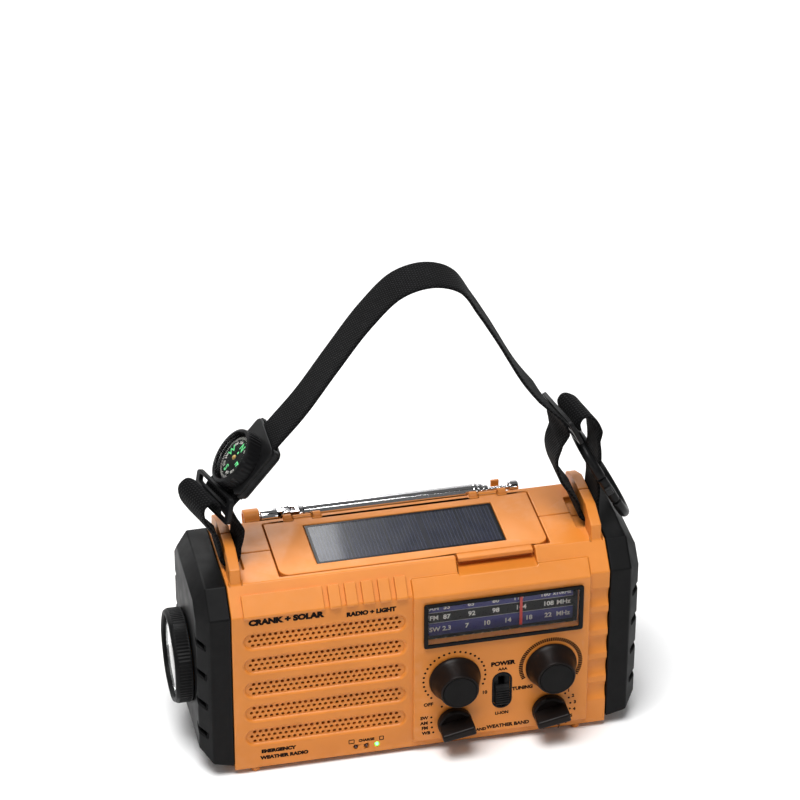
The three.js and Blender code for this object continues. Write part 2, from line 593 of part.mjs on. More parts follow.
const idlerX = CRANK.x + TRAIN.gap;
const pinionZ = CRANK.z - TRAIN.gap;
const boreY = (x, z, r) => rod([x, -2, z], [x, 13, z], r, r, 12);
piece('crank_gear', cut(gear(TRAIN.crank, CRANK.x, CRANK.z, 5.4, 10.6, 0),
  boreY(CRANK.x, CRANK.z, 3.35)), white);
piece('idler_gear', join(
  gear(TRAIN.small, idlerX, CRANK.z, 4, 11, 0.5),
  gear(TRAIN.big, idlerX, CRANK.z, 0, 4.6, 0)), white);
piece('generator_pinion', gear(TRAIN.pinion, idlerX, pinionZ, 0.4, 4.6, 0.5), brass);
piece('generator', rod([idlerX, -13.6, pinionZ], [idlerX, 0, pinionZ], 12, 12, 24), steel);

// ---------- ports ----------
piece('port_block', cut(
  box(PORTS.x0 + 1.4, PORTS.x1 - 1.4, 20, 29, PORTS.z0 + 2.4, PORTS.z1 - 2.4),
  box(PORTS.x0 + 2.6, PORTS.x0 + 15, 21, 40, PORTS.z0 + 3.6, PORTS.z0 + 8.4),
  rod([PORTS.x1 - 5, 22, PORTS.z0 + 6], [PORTS.x1 - 5, 40, PORTS.z0 + 6], 1.8, 1.8, 12)), black);
piece('port_cover', join(
  box(PORTS.x0, PORTS.x1, DEPTH + GAP, DEPTH + 2, PORTS.z0, PORTS.z1),
  rod([PORTS.x0, DEPTH + 1.3, PORTS.z0], [PORTS.x1, DEPTH + 1.3, PORTS.z0], 1, 1, 10)), rubber);

SCREWS.forEach(([x, z], i) => {
  piece(`rear_screw_${i + 1}`, cut(
    join(rod([x, 14, z], [x, 31, z], 1.2, 1.2, 10), rod([x, DEPTH - 1.2, z], [x, DEPTH - 0.2, z], 2.6, 2.6, 16)),
    box(x - 1.8, x + 1.8, DEPTH - 0.8, 40, z - 0.35, z + 0.35),
    box(x - 0.35, x + 0.35, DEPTH - 0.8, 40, z - 1.8, z + 1.8)), steel);
});

// ---------- strap ----------
// One length of webbing: each end runs down from its slider, round the lug bar and back up.
const LEFT_END = [
  [-83.1, 115.5], [-83.4, 119.4], [-86.2, 121.4], [-89.6, 118.6], [-89.6, 113.5], [-86.4, 107.5],
  [-82.4, 101.5], [-80, 96.5], [-79.9, 92.4], [-78.6, 90.1], [-76.2, 89.5], [-73.8, 90.1],
  [-72.4, 92.4], [-72, 98], [-73.6, 106], [-77, 113], [-78.3, 117.4], [-76.8, 120],
];
const CARRY = [
  [-72.4, 124.3], [-64.4, 134.1], [-56.4, 143.9], [-44, 158.5], [-31, 177], [-17, 196],
  [-4, 208.5], [9, 211.5], [20, 207.5], [28, 195.5], [36, 181.5], [47.3, 160.4],
];
const RIGHT_END = [
  [57.4, 146.2], [62.2, 139.6], [64.4, 134.4], [63.6, 128], [61.8, 120.3], [63.8, 111],
  [68.6, 103], [71.6, 98], [72.3, 92.4], [73.8, 90.1], [76.2, 89.5], [78.6, 90.1], [79.9, 92.4],
  [79.9, 97], [80.2, 103], [79.8, 109], [79.6, 114], [80.3, 119], [79.8, 126], [78.5, 133],
  [75, 139.4], [70.8, 141], [68.9, 138.4], [69.4, 134.8],
];
piece('strap_webbing', band([...LEFT_END, ...CARRY, ...RIGHT_END], 92), nylon);

// Hardware on the strap lies in frames turned about Y: local X runs up the strap and
// local Z points away from the radio's middle.
function strapFrame(x, z, dx, dz) {
  const frame = new THREE.Group();
  frame.position.set(x, 0, z);
  frame.rotation.y = -Math.atan2(dz, dx);
  radio.add(frame);
  return frame;
}

const triglide = cut(box(-6.5, 6.5, -13.3, 13.3, -0.9, 0.9),
  box(-5, -1.4, -10.7, 10.7, -2, 2), box(1.4, 5, -10.7, 10.7, -2, 2));
piece('triglide_left', triglide, black, strapFrame(-80.5, 117.6, 0.15, 0.99));
const rightSlider = strapFrame(66.3, 135.5, 0.43, -0.9);
piece('triglide_right', triglide, black, rightSlider);

const COMPASS = { x: -62.5, z: 132.5, dx: 0.632, dz: 0.775, offset: -3.4, radius: 12.3 };
const compass = strapFrame(COMPASS.x, COMPASS.z, COMPASS.dx, COMPASS.dz);
const onCompass = (r, h0, h1, sides = 28) =>
  rod([COMPASS.offset, 0, h0], [COMPASS.offset, 0, h1], r, r, sides);
piece('compass_holder', cut(
  join(box(-12.6, 12.6, -14, 14, 0, 4.8), onCompass(COMPASS.radius, 4, 11.4, 36)),
  box(-20, 20, -10.4, 10.4, 1.4, 3.5),
  onCompass(10.6, 6, 20)), black, compass);
piece('compass_card', join(onCompass(9.7, 8.2, 9), onCompass(1.1, 6.6, 10, 12)), black, compass);
piece('compass_dome', turned(
  [[0, 12], [6, 11.6], [9.4, 10.6], [10.2, 10.6], [10.2, 11.6], [6.4, 12.8], [0, 13.4]],
  [COMPASS.offset, 0, 0], [0, 0, 1]), clear, compass);

// Carabiner: local X runs from its top bow to its bottom bow, the gate is on the -Y side.
const HOOK = { x: 73, z: 125, long: 42.2, half: 13.4, bar: 2.25, gate: [14.4, 27.8] };

function bow(centre, direction) {
  const points = [];
  for (let i = 0; i <= 6; i += 1) {
    const angle = -Math.PI / 2 + (Math.PI * i) / 6;
    points.push([centre + direction * HOOK.half * Math.cos(angle), HOOK.half * Math.sin(angle), 0]);
  }
  return direction < 0 ? points : points.reverse();
}

const hook = strapFrame(HOOK.x, HOOK.z, 0.481, -0.877);
const farBow = HOOK.long - HOOK.half;
piece('carabiner_body', tube(
  [...bow(HOOK.half, -1), [HOOK.long / 2, HOOK.half, 0], ...bow(farBow, 1)], HOOK.bar, 32), black, hook);
piece('carabiner_gate', join(
  rod([HOOK.gate[0], -HOOK.half, 0], [HOOK.gate[1], -HOOK.half, 0], 2, 2, 10),
  box(19, 22, -HOOK.half - 3.2, -HOOK.half, -1.4, 1.4)), black, hook);

// ---------- origin at the middle of the footprint ----------
radio.updateMatrixWorld(true);
const bounds = new THREE.Box3().setFromObject(radio);
const middle = bounds.getCenter(new THREE.Vector3());
radio.position.set(-middle.x, -middle.y, -bounds.min.z);

export default radio;
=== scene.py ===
import json
import math

import bmesh
import bpy
from mathutils import Matrix, Vector


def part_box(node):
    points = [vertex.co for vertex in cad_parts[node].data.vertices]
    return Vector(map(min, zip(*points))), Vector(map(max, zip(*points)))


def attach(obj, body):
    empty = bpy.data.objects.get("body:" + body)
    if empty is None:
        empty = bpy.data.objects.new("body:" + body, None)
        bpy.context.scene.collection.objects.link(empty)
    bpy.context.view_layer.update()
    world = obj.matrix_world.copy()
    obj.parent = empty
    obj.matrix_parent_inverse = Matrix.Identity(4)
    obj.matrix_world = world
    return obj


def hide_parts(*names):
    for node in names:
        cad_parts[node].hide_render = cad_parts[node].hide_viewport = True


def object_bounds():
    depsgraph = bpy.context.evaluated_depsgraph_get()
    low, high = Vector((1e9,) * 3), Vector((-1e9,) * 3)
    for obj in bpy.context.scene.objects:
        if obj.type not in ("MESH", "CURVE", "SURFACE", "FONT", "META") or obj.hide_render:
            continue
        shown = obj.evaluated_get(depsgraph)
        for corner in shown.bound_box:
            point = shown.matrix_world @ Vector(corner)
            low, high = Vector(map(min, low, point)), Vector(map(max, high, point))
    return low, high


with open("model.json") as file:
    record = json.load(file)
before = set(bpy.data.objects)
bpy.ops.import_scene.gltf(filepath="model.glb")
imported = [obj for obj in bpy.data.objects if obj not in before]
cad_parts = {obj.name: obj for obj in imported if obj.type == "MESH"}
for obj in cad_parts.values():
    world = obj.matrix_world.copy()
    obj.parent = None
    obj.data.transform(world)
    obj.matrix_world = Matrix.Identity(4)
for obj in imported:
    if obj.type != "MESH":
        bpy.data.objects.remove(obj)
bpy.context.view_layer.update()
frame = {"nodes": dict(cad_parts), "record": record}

# Shapes are laid out in the housing's own frame, in millimetres: X = 0 in the middle of the
# housing, Y = 0 on the seam between the shells, Z = 0 under the housing.
MM = 0.001
HALF_SEAM, FOOT_HEIGHT = 0.15, 2.5
LOW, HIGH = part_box("front_shell")
ORIGIN = Vector(((LOW.x + HIGH.x) / 2, HIGH.y + HALF_SEAM * MM, LOW.z + FOOT_HEIGHT * MM))

FACE_Y = -31.6  # front wall of the housing; the back wall mirrors it
PANEL_Y = -33.1  # raised control panel
CARD_Y = -26.62  # printed card behind the dial window
TOP_Z = 87.8  # top of the solar lid
DIAL = (0.1, 68.2, 52.0, 74.2)  # x from, x to, z from, z to
SOLAR = (-40.4, 39.5, -13.6, 14.5)  # x from, x to, y from, y to
GRILLE_X = -41  # middle of the grille slots
GRILLE_ROWS = [15.9 + 12.275 * row for row in range(5)]
SLOT_LENGTH, SLOT_HEIGHT = 70, 9.6
HOLE_PITCH, HOLE_RADIUS = 2.42, 0.74
VOLUME, TUNING = (13.5, 34.5), (55.0, 35.0)
BAND, WEATHER = (13.6, 12.0), (54.6, 12.2)
SELECTOR_TILT = 0.19
SWITCH = (34.1, 22.7)  # middle of the slider
SWITCH_SLOT_Z = 24.9  # middle of the slot it runs in
LIGHTS, LIGHTS_Z = (-28.4, -23.9, -19.3), 3.9
LAMP_Z = 40.0
ANTENNA_Y, ANTENNA_Z, ANTENNA_PIVOT = 27.5, 85.5, -45.5
CRANK_Z, CRANK_KNOB_Y = 41.0, 15.3
SCREWS = ((-72, 8), (-72, 73), (76.2, 6), (76.2, 73))
LEFT_LEAN, RIGHT_LEAN = 0.34, 0.20  # sideways lean of the webbing at each slider, per mm of width


def point(x, y, z):
    return ORIGIN + Vector((x, y, z)) * MM


# ---------- materials ----------
class Graph:
    """Short names for the nodes that the materials share."""

    def __init__(self, name):
        self.material = bpy.data.materials.new(name)
        self.material.use_nodes = True
        self.nodes = self.material.node_tree.nodes
        self.links = self.material.node_tree.links
        self.shader = self.nodes["Principled BSDF"]
        self.coords = self.add("TexCoord")

    def link(self, source, target):
        self.links.new(source, target)

    def feed(self, name, source):
        """Joins a node to a socket of the shader."""
        self.link(source, self.shader.inputs[name])

    def fix(self, name, value):
        """Gives a socket of the shader one value all over."""
        self.shader.inputs[name].default_value = value

    def set(self, node, index, value):
        if hasattr(value, "is_output"):
            self.link(value, node.inputs[index])
        elif value is not None:
            node.inputs[index].default_value = value

    def add(self, kind, **values):
        """A new node; each value is a number or the output that feeds that socket."""
        node = self.nodes.new("ShaderNode" + kind)
        for name, value in values.items():
            self.set(node, name.replace("_", " "), value)
        return node

    def math(self, operation, a, b=None):
        node = self.add("Math")
        node.operation = operation
        self.set(node, 0, a)
        self.set(node, 1, b)
        return node.outputs[0]

    def times(self, a, b):
        return self.math("MULTIPLY", a, b)

    def noise(self, scale, detail=2.0, vector=None):
        vector = vector or self.coords.outputs["Object"]
        return self.add("TexNoise", Scale=scale, Detail=detail, Vector=vector).outputs["Fac"]

    def ramp(self, value, low, high, out_low=0.0, out_high=1.0):
        node = self.add("MapRange", From_Min=low, From_Max=high, To_Min=out_low, To_Max=out_high, Value=value)
        return node.outputs[0]

    def mix(self, factor, a, b):
        node = self.add("Mix")
        node.data_type = "RGBA"
        self.set(node, 0, factor)
        self.set(node, 6, (*a, 1) if isinstance(a, tuple) else a)
        self.set(node, 7, (*b, 1) if isinstance(b, tuple) else b)
        return node.outputs[2]

    def bump(self, height, distance, strength):
        node = self.add("Bump", Distance=distance * MM, Strength=strength, Height=height)
        self.feed("Normal", node.outputs[0])

    def axes(self, source="Object"):
        return self.add("SeparateXYZ", Vector=self.coords.outputs[source]).outputs


def scaled(colour, factor):
    return tuple(min(1.0, channel * factor) for channel in colour)


def moulded(name, colour, rough, grain=1800.0, relief=0.012, coat=0.0, wear=0.12, mottle=0.07, specular=0.5):
    """A moulded or printed surface: cloudy tone, uneven gloss, fine grain and rubbed edges."""
    g = Graph(name)
    clouds = g.noise(38.0, 3.0)
    tone = g.mix(g.ramp(clouds, 0.3, 0.7), scaled(colour, 1 - mottle), scaled(colour, 1 + mottle))
    corners = g.ramp(g.add("NewGeometry").outputs["Pointiness"], 0.52, 0.60)
    edges = g.times(corners, g.ramp(g.noise(260.0), 0.35, 0.75))
    lighter = tuple(channel + (0.85 - channel) * 0.35 for channel in colour)
    worn = g.mix(g.times(edges, wear), tone, lighter)
    g.feed("Base Color", worn)
    g.feed("Roughness", g.ramp(g.noise(120.0, 4.0), 0.3, 0.7, rough * 0.88, min(1.0, rough * 1.14)))
    g.bump(g.noise(grain, 3.0), relief, 0.6)
    g.fix("Specular IOR Level", specular)
    g.fix("Coat Weight", coat)
    g.fix("Coat Roughness", 0.08)
    return g.material


def glassy(name, colour, index=1.25):
    """Clear plastic. The low index keeps what is behind it readable."""
    g = Graph(name)
    g.feed("Base Color", g.mix(g.noise(60.0), scaled(colour, 0.97), colour))
    g.feed("Roughness", g.ramp(g.noise(300.0, 3.0), 0.3, 0.7, 0.0, 0.015))
    g.fix("Transmission Weight", 1.0)
    g.fix("IOR", index)
    return g.material


def glowing(name, colour, strength):
    g = Graph(name)
    g.feed("Base Color", g.mix(g.noise(900.0), scaled(colour, 0.8), colour))
    g.feed("Emission Color", g.mix(g.noise(700.0), scaled(colour, 0.75), colour))
    g.fix("Emission Strength", strength)
    g.fix("Roughness", 0.15)
    return g.material


def brushed(name, colour, rough, relief=0.004):
    """Turned or drawn metal: fine lines that run across X."""
    g = Graph(name)
    mapping = g.add("Mapping", Scale=(6000.0, 350.0, 350.0), Vector=g.coords.outputs["Object"])
    lines = g.noise(1.0, 3.0, mapping.outputs[0])
    g.feed("Base Color", g.mix(g.ramp(g.noise(90.0, 3.0), 0.3, 0.7), scaled(colour, 0.92), colour))
    g.feed("Roughness", g.ramp(lines, 0.3, 0.7, rough * 0.8, rough * 1.3))
    g.fix("Metallic", 1.0)
    g.bump(lines, relief, 0.4)
    return g.material


def woven(name, colour, warp, weft):
    """Webbing: yarn crossings on the strip's own length and width, in millimetres."""
    g = Graph(name)
    length, width = [g.times(axis, 1000.0) for axis in g.axes("UV")[:2]]
    row = g.math("FLOOR", g.math("DIVIDE", length, weft))
    shift = g.times(row, math.pi)
    yarns = g.math("SINE", g.math("ADD", g.times(width, 2 * math.pi / warp), shift))
    rows = g.math("ABSOLUTE", g.math("SINE", g.times(length, math.pi / weft)))
    height = g.times(g.math("ADD", g.times(yarns, 0.5), 0.5), rows)
    fuzz = g.times(g.noise(3500.0, 3.0), 0.35)
    surface = g.math("ADD", height, fuzz)
    # Painted shade: the yarns are painted darker where the weave dips and lighter where it rises.
    tone = g.mix(g.ramp(surface, 0.1, 1.1), scaled(colour, 0.35), scaled(colour, 1.7))
    g.feed("Base Color", g.mix(g.ramp(g.noise(45.0), 0.35, 0.7, 0.0, 0.25), tone, scaled(colour, 2.4)))
    g.feed("Roughness", g.ramp(surface, 0.1, 1.1, 0.95, 0.62))
    g.fix("Specular IOR Level", 0.1)
    g.fix("Sheen Weight", 0.03)
    g.fix("Sheen Roughness", 0.4)
    g.bump(surface, 0.22, 0.9)
    return g.material


def solar_cells(name):
    """Dark blue cells under a clear face, with silver grid lines and gaps between cells."""
    g = Graph(name)
    x = g.axes()[0]

    def line(start, pitch, width):
        place = g.math("SUBTRACT", g.times(x, 1000.0), start)
        share = g.math("FRACT", g.math("DIVIDE", place, pitch))
        return g.math("LESS_THAN", share, width / pitch)

    start = ORIGIN.x / MM + SOLAR[0]
    fingers, gaps = line(start, 1.5, 0.22), line(start - 0.2, 16.0, 0.5)
    flakes = g.add("TexVoronoi", Scale=260.0, Vector=g.coords.outputs["Object"])
    cell = g.mix(flakes.outputs["Distance"], (0.002, 0.003, 0.011), (0.004, 0.007, 0.026))
    cell = g.mix(g.times(fingers, 0.25), cell, (0.10, 0.12, 0.20))
    g.feed("Base Color", g.mix(gaps, cell, (0.002, 0.002, 0.004)))
    g.feed("Roughness", g.ramp(g.noise(150.0, 3.0), 0.3, 0.7, 0.16, 0.26))
    g.fix("Specular IOR Level", 0.2)
    g.fix("Coat Weight", 0.4)
    g.fix("Coat Roughness", 0.05)
    return g.material


def circuit(name):
    """Green board with broken tracks and a few pads."""
    g = Graph(name)
    x, _, z = g.axes()
    tracks = g.math("LESS_THAN", g.math("FRACT", g.times(z, 420.0)), 0.35)
    breaks = g.math("GREATER_THAN", g.noise(140.0, 1.0), 0.5)
    pads = g.math("LESS_THAN", g.math("FRACT", g.times(x, 250.0)), 0.2)
    base = g.mix(g.times(tracks, breaks), (0.012, 0.085, 0.03), (0.03, 0.16, 0.06))
    g.feed("Base Color", g.mix(g.times(pads, tracks), base, (0.45, 0.42, 0.36)))
    g.feed("Roughness", g.ramp(g.noise(500.0), 0.3, 0.7, 0.35, 0.5))
    return g.material


orange = moulded("orange_shell", (0.66, 0.235, 0.034), 0.42, relief=0.010)
caps = moulded("satin_black", (0.005, 0.005, 0.0053), 0.48, relief=0.012, wear=0.03, specular=0.16)
gloss = moulded("gloss_black", (0.004, 0.004, 0.0045), 0.16, grain=900.0, relief=0.003, wear=0.02,
                specular=0.16)
knob_skin = moulded("knob_brown_black", (0.012, 0.0085, 0.0075), 0.34, relief=0.006, wear=0.04, specular=0.16)
knob_face = moulded("knob_face", (0.008, 0.0075, 0.0075), 0.6, relief=0.010, wear=0.04, specular=0.16)
rubber = moulded("soft_rubber", (0.010, 0.010, 0.010), 0.72, grain=1200.0, relief=0.02, specular=0.16)
hard_black = moulded("strap_plastic", (0.008, 0.008, 0.0085), 0.34, relief=0.010, wear=0.10, specular=0.16)
red_cap = moulded("red_button", (0.55, 0.03, 0.03), 0.5, relief=0.012)
pointer_red = moulded("pointer_red", (0.80, 0.05, 0.035), 0.4, relief=0.004)
white_plastic = moulded("white_plastic", (0.74, 0.74, 0.70), 0.45)
diffuser = moulded("milky_diffuser", (0.80, 0.80, 0.76), 0.35, grain=600.0)
paper = moulded("pressed_paper", (0.045, 0.043, 0.042), 0.92, grain=700.0, relief=0.05)
wrap = moulded("cell_wrap_blue", (0.03, 0.16, 0.36), 0.35, relief=0.006, coat=0.3)
chrome = brushed("chrome_tube", (0.78, 0.78, 0.79), 0.10, 0.0015)
steel = brushed("steel", (0.50, 0.50, 0.51), 0.30)
brass = brushed("brass", (0.62, 0.43, 0.16), 0.28)
mirror = brushed("reflector_plate", (0.90, 0.90, 0.90), 0.06, 0.001)
clear = glassy("clear_plastic", (0.97, 0.98, 0.98))
bubble_clear = glassy("bubble_clear", (1.0, 1.0, 1.0), 1.02)
webbing = woven("black_webbing", (0.0065, 0.0065, 0.007), 1.5, 1.05)
cells = solar_cells("solar_cells")
board = circuit("circuit_board")
print_white = moulded("print_white", (0.80, 0.78, 0.74), 0.55, relief=0.004, wear=0.0)
print_black = moulded("print_black", (0.008, 0.005, 0.004), 0.6, relief=0.002, wear=0.0, specular=0.08)
print_green = moulded("print_green", (0.16, 0.78, 0.30), 0.5, relief=0.004, wear=0.0)
card_black = moulded("card_black", (0.006, 0.006, 0.007), 0.5, relief=0.004, wear=0.0, specular=0.16)
card_blue = moulded("card_blue", (0.045, 0.045, 0.21), 0.5, relief=0.004, wear=0.0)
led_green = glowing("led_green", (0.10, 0.95, 0.16), 6.0)
led_dark = moulded("led_dark", (0.060, 0.012, 0.010), 0.22, grain=500.0, relief=0.002, coat=0.5)
led_white = moulded("led_white", (0.86, 0.84, 0.55), 0.25, grain=500.0, relief=0.002, coat=0.5)


# ---------- making pieces ----------
SHARP = math.radians(30)  # edges steeper than this keep a crease
BEVELLED = math.radians(32)  # edges steeper than this are rounded
WELD = 0.002 * MM  # closer points are one point
FLAT = math.radians(1)  # faces closer than this in direction are one face


def smooth(mesh):
    """Smooth shading, with a crease along every sharp edge."""
    bm = bmesh.new()
    bm.from_mesh(mesh)
    for face in bm.faces:
        face.smooth = True
    for edge in bm.edges:
        if len(edge.link_faces) == 2:
            edge.smooth = edge.calc_face_angle(0.0) < SHARP
    bm.to_mesh(mesh)
    bm.free()


def add_bevel(obj, width, segments=3, weighted=False):
    """Rounds the steep edges, or each edge by its own weight."""
    bevel = obj.modifiers.new("rounded", "BEVEL")
    bevel.width = width * MM
    bevel.segments = segments
    bevel.limit_method = "WEIGHT" if weighted else "ANGLE"
    bevel.angle_limit = BEVELLED
    bevel.use_clamp_overlap = False
    bevel.harden_normals = True
    bevel.miter_outer = "MITER_ARC"


def make_object(name, bm):
    """An object from a finished bmesh, which is freed."""
    bmesh.ops.recalc_face_normals(bm, faces=bm.faces)
    mesh = bpy.data.meshes.new(name)
    bm.to_mesh(mesh)
    bm.free()
    obj = bpy.data.objects.new(name, mesh)
    bpy.context.scene.collection.objects.link(obj)
    return obj


def piece(name, bm, material, body="radio_body", replaces=None, bevel=0.0, segments=3,
          weighted=False):
    """A visible piece that rides on a body and may stand in for a CAD node."""
    obj = make_object(name, bm)
    obj.data.materials.append(material)
    smooth(obj.data)
    if bevel:
        add_bevel(obj, bevel, segments, weighted)
    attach(obj, body)
    if replaces:
        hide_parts(replaces)
    return obj


def body_of(node):
    for body, members in frame["record"]["behaviour"]["bodies"].items():
        if node in members:
            return body
    raise ValueError(node)


def refined(node, material, bevel, segments=3, edit=None, softness=None):
    """The CAD solid with merged facets and rounded edges, rounded less where softness says so."""
    bm = bmesh.new()
    bm.from_mesh(frame["nodes"][node].data)
    bmesh.ops.remove_doubles(bm, verts=bm.verts, dist=WELD)
    bmesh.ops.dissolve_limit(bm, angle_limit=FLAT, verts=bm.verts, edges=bm.edges)
    if edit:
        edit(bm)
    layer = bm.edges.layers.float.new("bevel_weight_edge")
    for edge in bm.edges:
        if len(edge.link_faces) == 2 and edge.calc_face_angle(0.0) > BEVELLED:
            middle = ((edge.verts[0].co + edge.verts[1].co) / 2 - ORIGIN) / MM
            edge[layer] = softness(middle) if softness else 1.0
    return piece(node + "_shape", bm, material, body_of(node), node, bevel, segments, True)


def carried(node, material, bevel):
    """A CAD node that keeps its mesh, with clean bevelled edges and a detailed material."""
    obj = frame["nodes"][node]
    obj.data.materials.clear()
    obj.data.materials.append(material)
    weld = obj.modifiers.new("weld", "WELD")
    weld.merge_threshold = WELD
    flat = obj.modifiers.new("flat", "DECIMATE")
    flat.decimate_type = "DISSOLVE"
    flat.angle_limit = FLAT
    add_bevel(obj, bevel, 2)


def drill(obj, cut, name):
    """Subtracts the cut from the object with its modifiers applied, and keeps the result."""
    cutter = make_object(name, cut)
    hole = obj.modifiers.new("holes", "BOOLEAN")
    hole.operation = "DIFFERENCE"
    hole.solver = "EXACT"
    hole.object = cutter
    depsgraph = bpy.context.evaluated_depsgraph_get()
    mesh = bpy.data.meshes.new_from_object(obj.evaluated_get(depsgraph), depsgraph=depsgraph)
    obj.modifiers.clear()
    obj.data = mesh
    bpy.data.objects.remove(cutter)


# ---------- outlines and solids ----------
def arc(centre, radius, start, end, count):
    """Points along an arc; start and end are in degrees."""
    turns = [math.radians(start + (end - start) * i / (count - 1)) for i in range(count)]
    return [(centre[0] + radius * math.cos(a), centre[1] + radius * math.sin(a)) for a in turns]


def rounded_outline(x0, x1, z0, z1, radius, steps=8):
    """A rectangle with rounded corners, as points going round it."""
    points = []
    corners = ((x1 - radius, z1 - radius), (x0 + radius, z1 - radius), (x0 + radius, z0 + radius),
               (x1 - radius, z0 + radius))
    for centre, start in zip(corners, (0, 90, 180, 270)):
        points += arc(centre, radius, start, start + 90, steps + 1)
    return points


def slot_outline(cx, cz, length, height):
    """A slot with full round ends; the radius stops just short, so that no two points meet."""
    radius = min(length, height) / 2 - 0.001
    return rounded_outline(cx - length / 2, cx + length / 2, cz - height / 2, cz + height / 2, radius, 12)


def raised(outline, y):
    """An outline of the front view, as points at a depth."""
    return [point(u, y, v) for u, v in outline]


def layers(place, outline, heights):
    """An outline in a frame of its own, once at each height."""
    return [[place @ (Vector((u, v, h)) * MM) for u, v in outline] for h in heights]


def add_loops(bm, loops, ring=False):
    """Skins a stack of equal point loops; the ends get a face, or meet when it is a ring."""
    rings = [[bm.verts.new(p) for p in loop] for loop in loops]
    count = len(rings[0])
    for a, b in zip(rings, rings[1:]):
        for i in range(count):
            j = (i + 1) % count
            bm.faces.new((a[i], a[j], b[j], b[i]))
    if ring:
        for i in range(count):
            j = (i + 1) % count
            bm.faces.new((rings[-1][i], rings[-1][j], rings[0][j], rings[0][i]))
    else:
        bm.faces.new(rings[0])
        bm.faces.new(rings[-1])


def plate(outline, y0, y1, bm=None):
    """An outline of the front view made solid between two depths."""
    bm = bm or bmesh.new()
    add_loops(bm, [raised(outline, y0), raised(outline, y1)])
    return bm


def block(x0, x1, y0, y1, z0, z1, bm):
    plate([(x0, z0), (x1, z0), (x1, z1), (x0, z1)], y0, y1, bm)


def hollow(outer, inner, depths, bm=None):
    """A ring between two outlines: two depths for the outer, then two for the inner."""
    bm = bm or bmesh.new()
    loops = [raised(loop, y) for loop, y in zip((outer, outer, inner, inner), depths)]
    add_loops(bm, loops, ring=True)
    return bm


def softened(profile, radius):
    """Rounds the corners of a [radius, height] profile, each in four steps."""
    out = [Vector(profile[0])]
    for a, b, c in zip(profile, profile[1:], profile[2:]):
        a, b, c = Vector(a), Vector(b), Vector(c)
        r = min(radius, (a - b).length * 0.45, (c - b).length * 0.45)
        if r < 0.02:
            out.append(b)
            continue
        start, end = b + (a - b).normalized() * r, b + (c - b).normalized() * r
        for i in range(5):
            t = i / 4
            out.append(start * (1 - t) ** 2 + b * 2 * t * (1 - t) + end * t * t)
    out.append(Vector(profile[-1]))
    return out


def aim(at, direction):
    """Frame whose Z runs along the direction, from a point in the housing's frame."""
    turn = Vector(direction).normalized().to_track_quat("Z", "Y").to_matrix().to_4x4()
    return Matrix.Translation(point(*at)) @ turn


def turned(profile, place, sides=64, radius=0.3, wave=None, bm=None):
    """A turned piece; a [radius, height] profile that stays off the axis closes on itself."""
    bm = bm or bmesh.new()
    rings = []
    for r, h in softened(profile, radius) if radius else profile:
        if r < 1e-6:
            rings.append([bm.verts.new(place @ (Vector((0, 0, h)) * MM))])
            continue
        ring = []
        for i in range(sides):
            angle = 2 * math.pi * i / sides
            reach = r * wave(angle, h) if wave else r
            spot = Vector((reach * math.cos(angle), reach * math.sin(angle), h))
            ring.append(bm.verts.new(place @ (spot * MM)))
        rings.append(ring)
    closed = len(rings[0]) > 1 and len(rings[-1]) > 1
    pairs = list(zip(rings, rings[1:])) + ([(rings[-1], rings[0])] if closed else [])
    for a, b in pairs:
        for i in range(sides):
            j = (i + 1) % sides
            if len(a) == 1 and len(b) == 1:
                continue
            if len(a) == 1:
                bm.faces.new((a[0], b[j], b[i]))
            elif len(b) == 1:
                bm.faces.new((a[i], a[j], b[0]))
            else:
                bm.faces.new((a[i], a[j], b[j], b[i]))
    return bm


def swept(points, section, up):
    """Sweeps an outline along points in the row frame; the outline's first axis lies along up."""
    bm = bmesh.new()
    loops = []
    for i, p in enumerate(points):
        before = points[max(i - 1, 0)]
        after = points[min(i + 1, len(points) - 1)]
        ahead = (after - before).normalized()
        side = (up - ahead * up.dot(ahead)).normalized()
        across = ahead.cross(side)
        loops.append([p + side * a * MM + across * b * MM for a, b in section])
    add_loops(bm, loops)
    return bm


def circle(radius, sides):
    steps = [2 * math.pi * i / sides for i in range(sides)]
    return [(radius * math.cos(a), radius * math.sin(a)) for a in steps]


# ---------- print ----------
def facing_front(y):
    return Matrix.Translation(point(0, y, 0)) @ Matrix.Rotation(math.pi / 2, 4, "X")


PRINT_LOW, PRINT_HIGH = -0.03, 0.05  # printed marks start just inside a surface and end just above it


def lettering(bm, text, place, u, v, size, bold=0.0, turn=0.0, stretch=1.0):
    """Raised text centred on a spot; bold fattens each stroke by that much."""
    curve = bpy.data.curves.new("lettering", "FONT")
    curve.body = text
    curve.size = size * MM
    curve.align_x = "CENTER"
    curve.align_y = "CENTER"
    curve.offset = bold * MM
    curve.extrude = 0.03 * MM
    curve.resolution_u = 3
    obj = bpy.data.objects.new("lettering", curve)
    mesh = bpy.data.meshes.new_from_object(obj)
    mesh.transform(place @ Matrix.Translation(Vector((u, v, 0.02)) * MM) @ Matrix.Rotation(turn, 4, "Z")
                   @ Matrix.Diagonal((stretch, 1, 1, 1)))
    bm.from_mesh(mesh)
    bpy.data.objects.remove(obj)
    bpy.data.curves.remove(curve)
    bpy.data.meshes.remove(mesh)


def dot(bm, place, u, v, radius):
    turned([(0, PRINT_LOW), (radius, PRINT_LOW), (radius, PRINT_HIGH), (0, PRINT_HIGH)],
           place @ Matrix.Translation(Vector((u, v, 0)) * MM), 14, 0, None, bm)


def stroke(bm, place, start, end, width):
    a, b = Vector(start), Vector(end)
    side = (b - a).orthogonal().normalized() * width / 2
    add_loops(bm, layers(place, (a + side, b + side, b - side, a - side), (PRINT_LOW, PRINT_HIGH)))


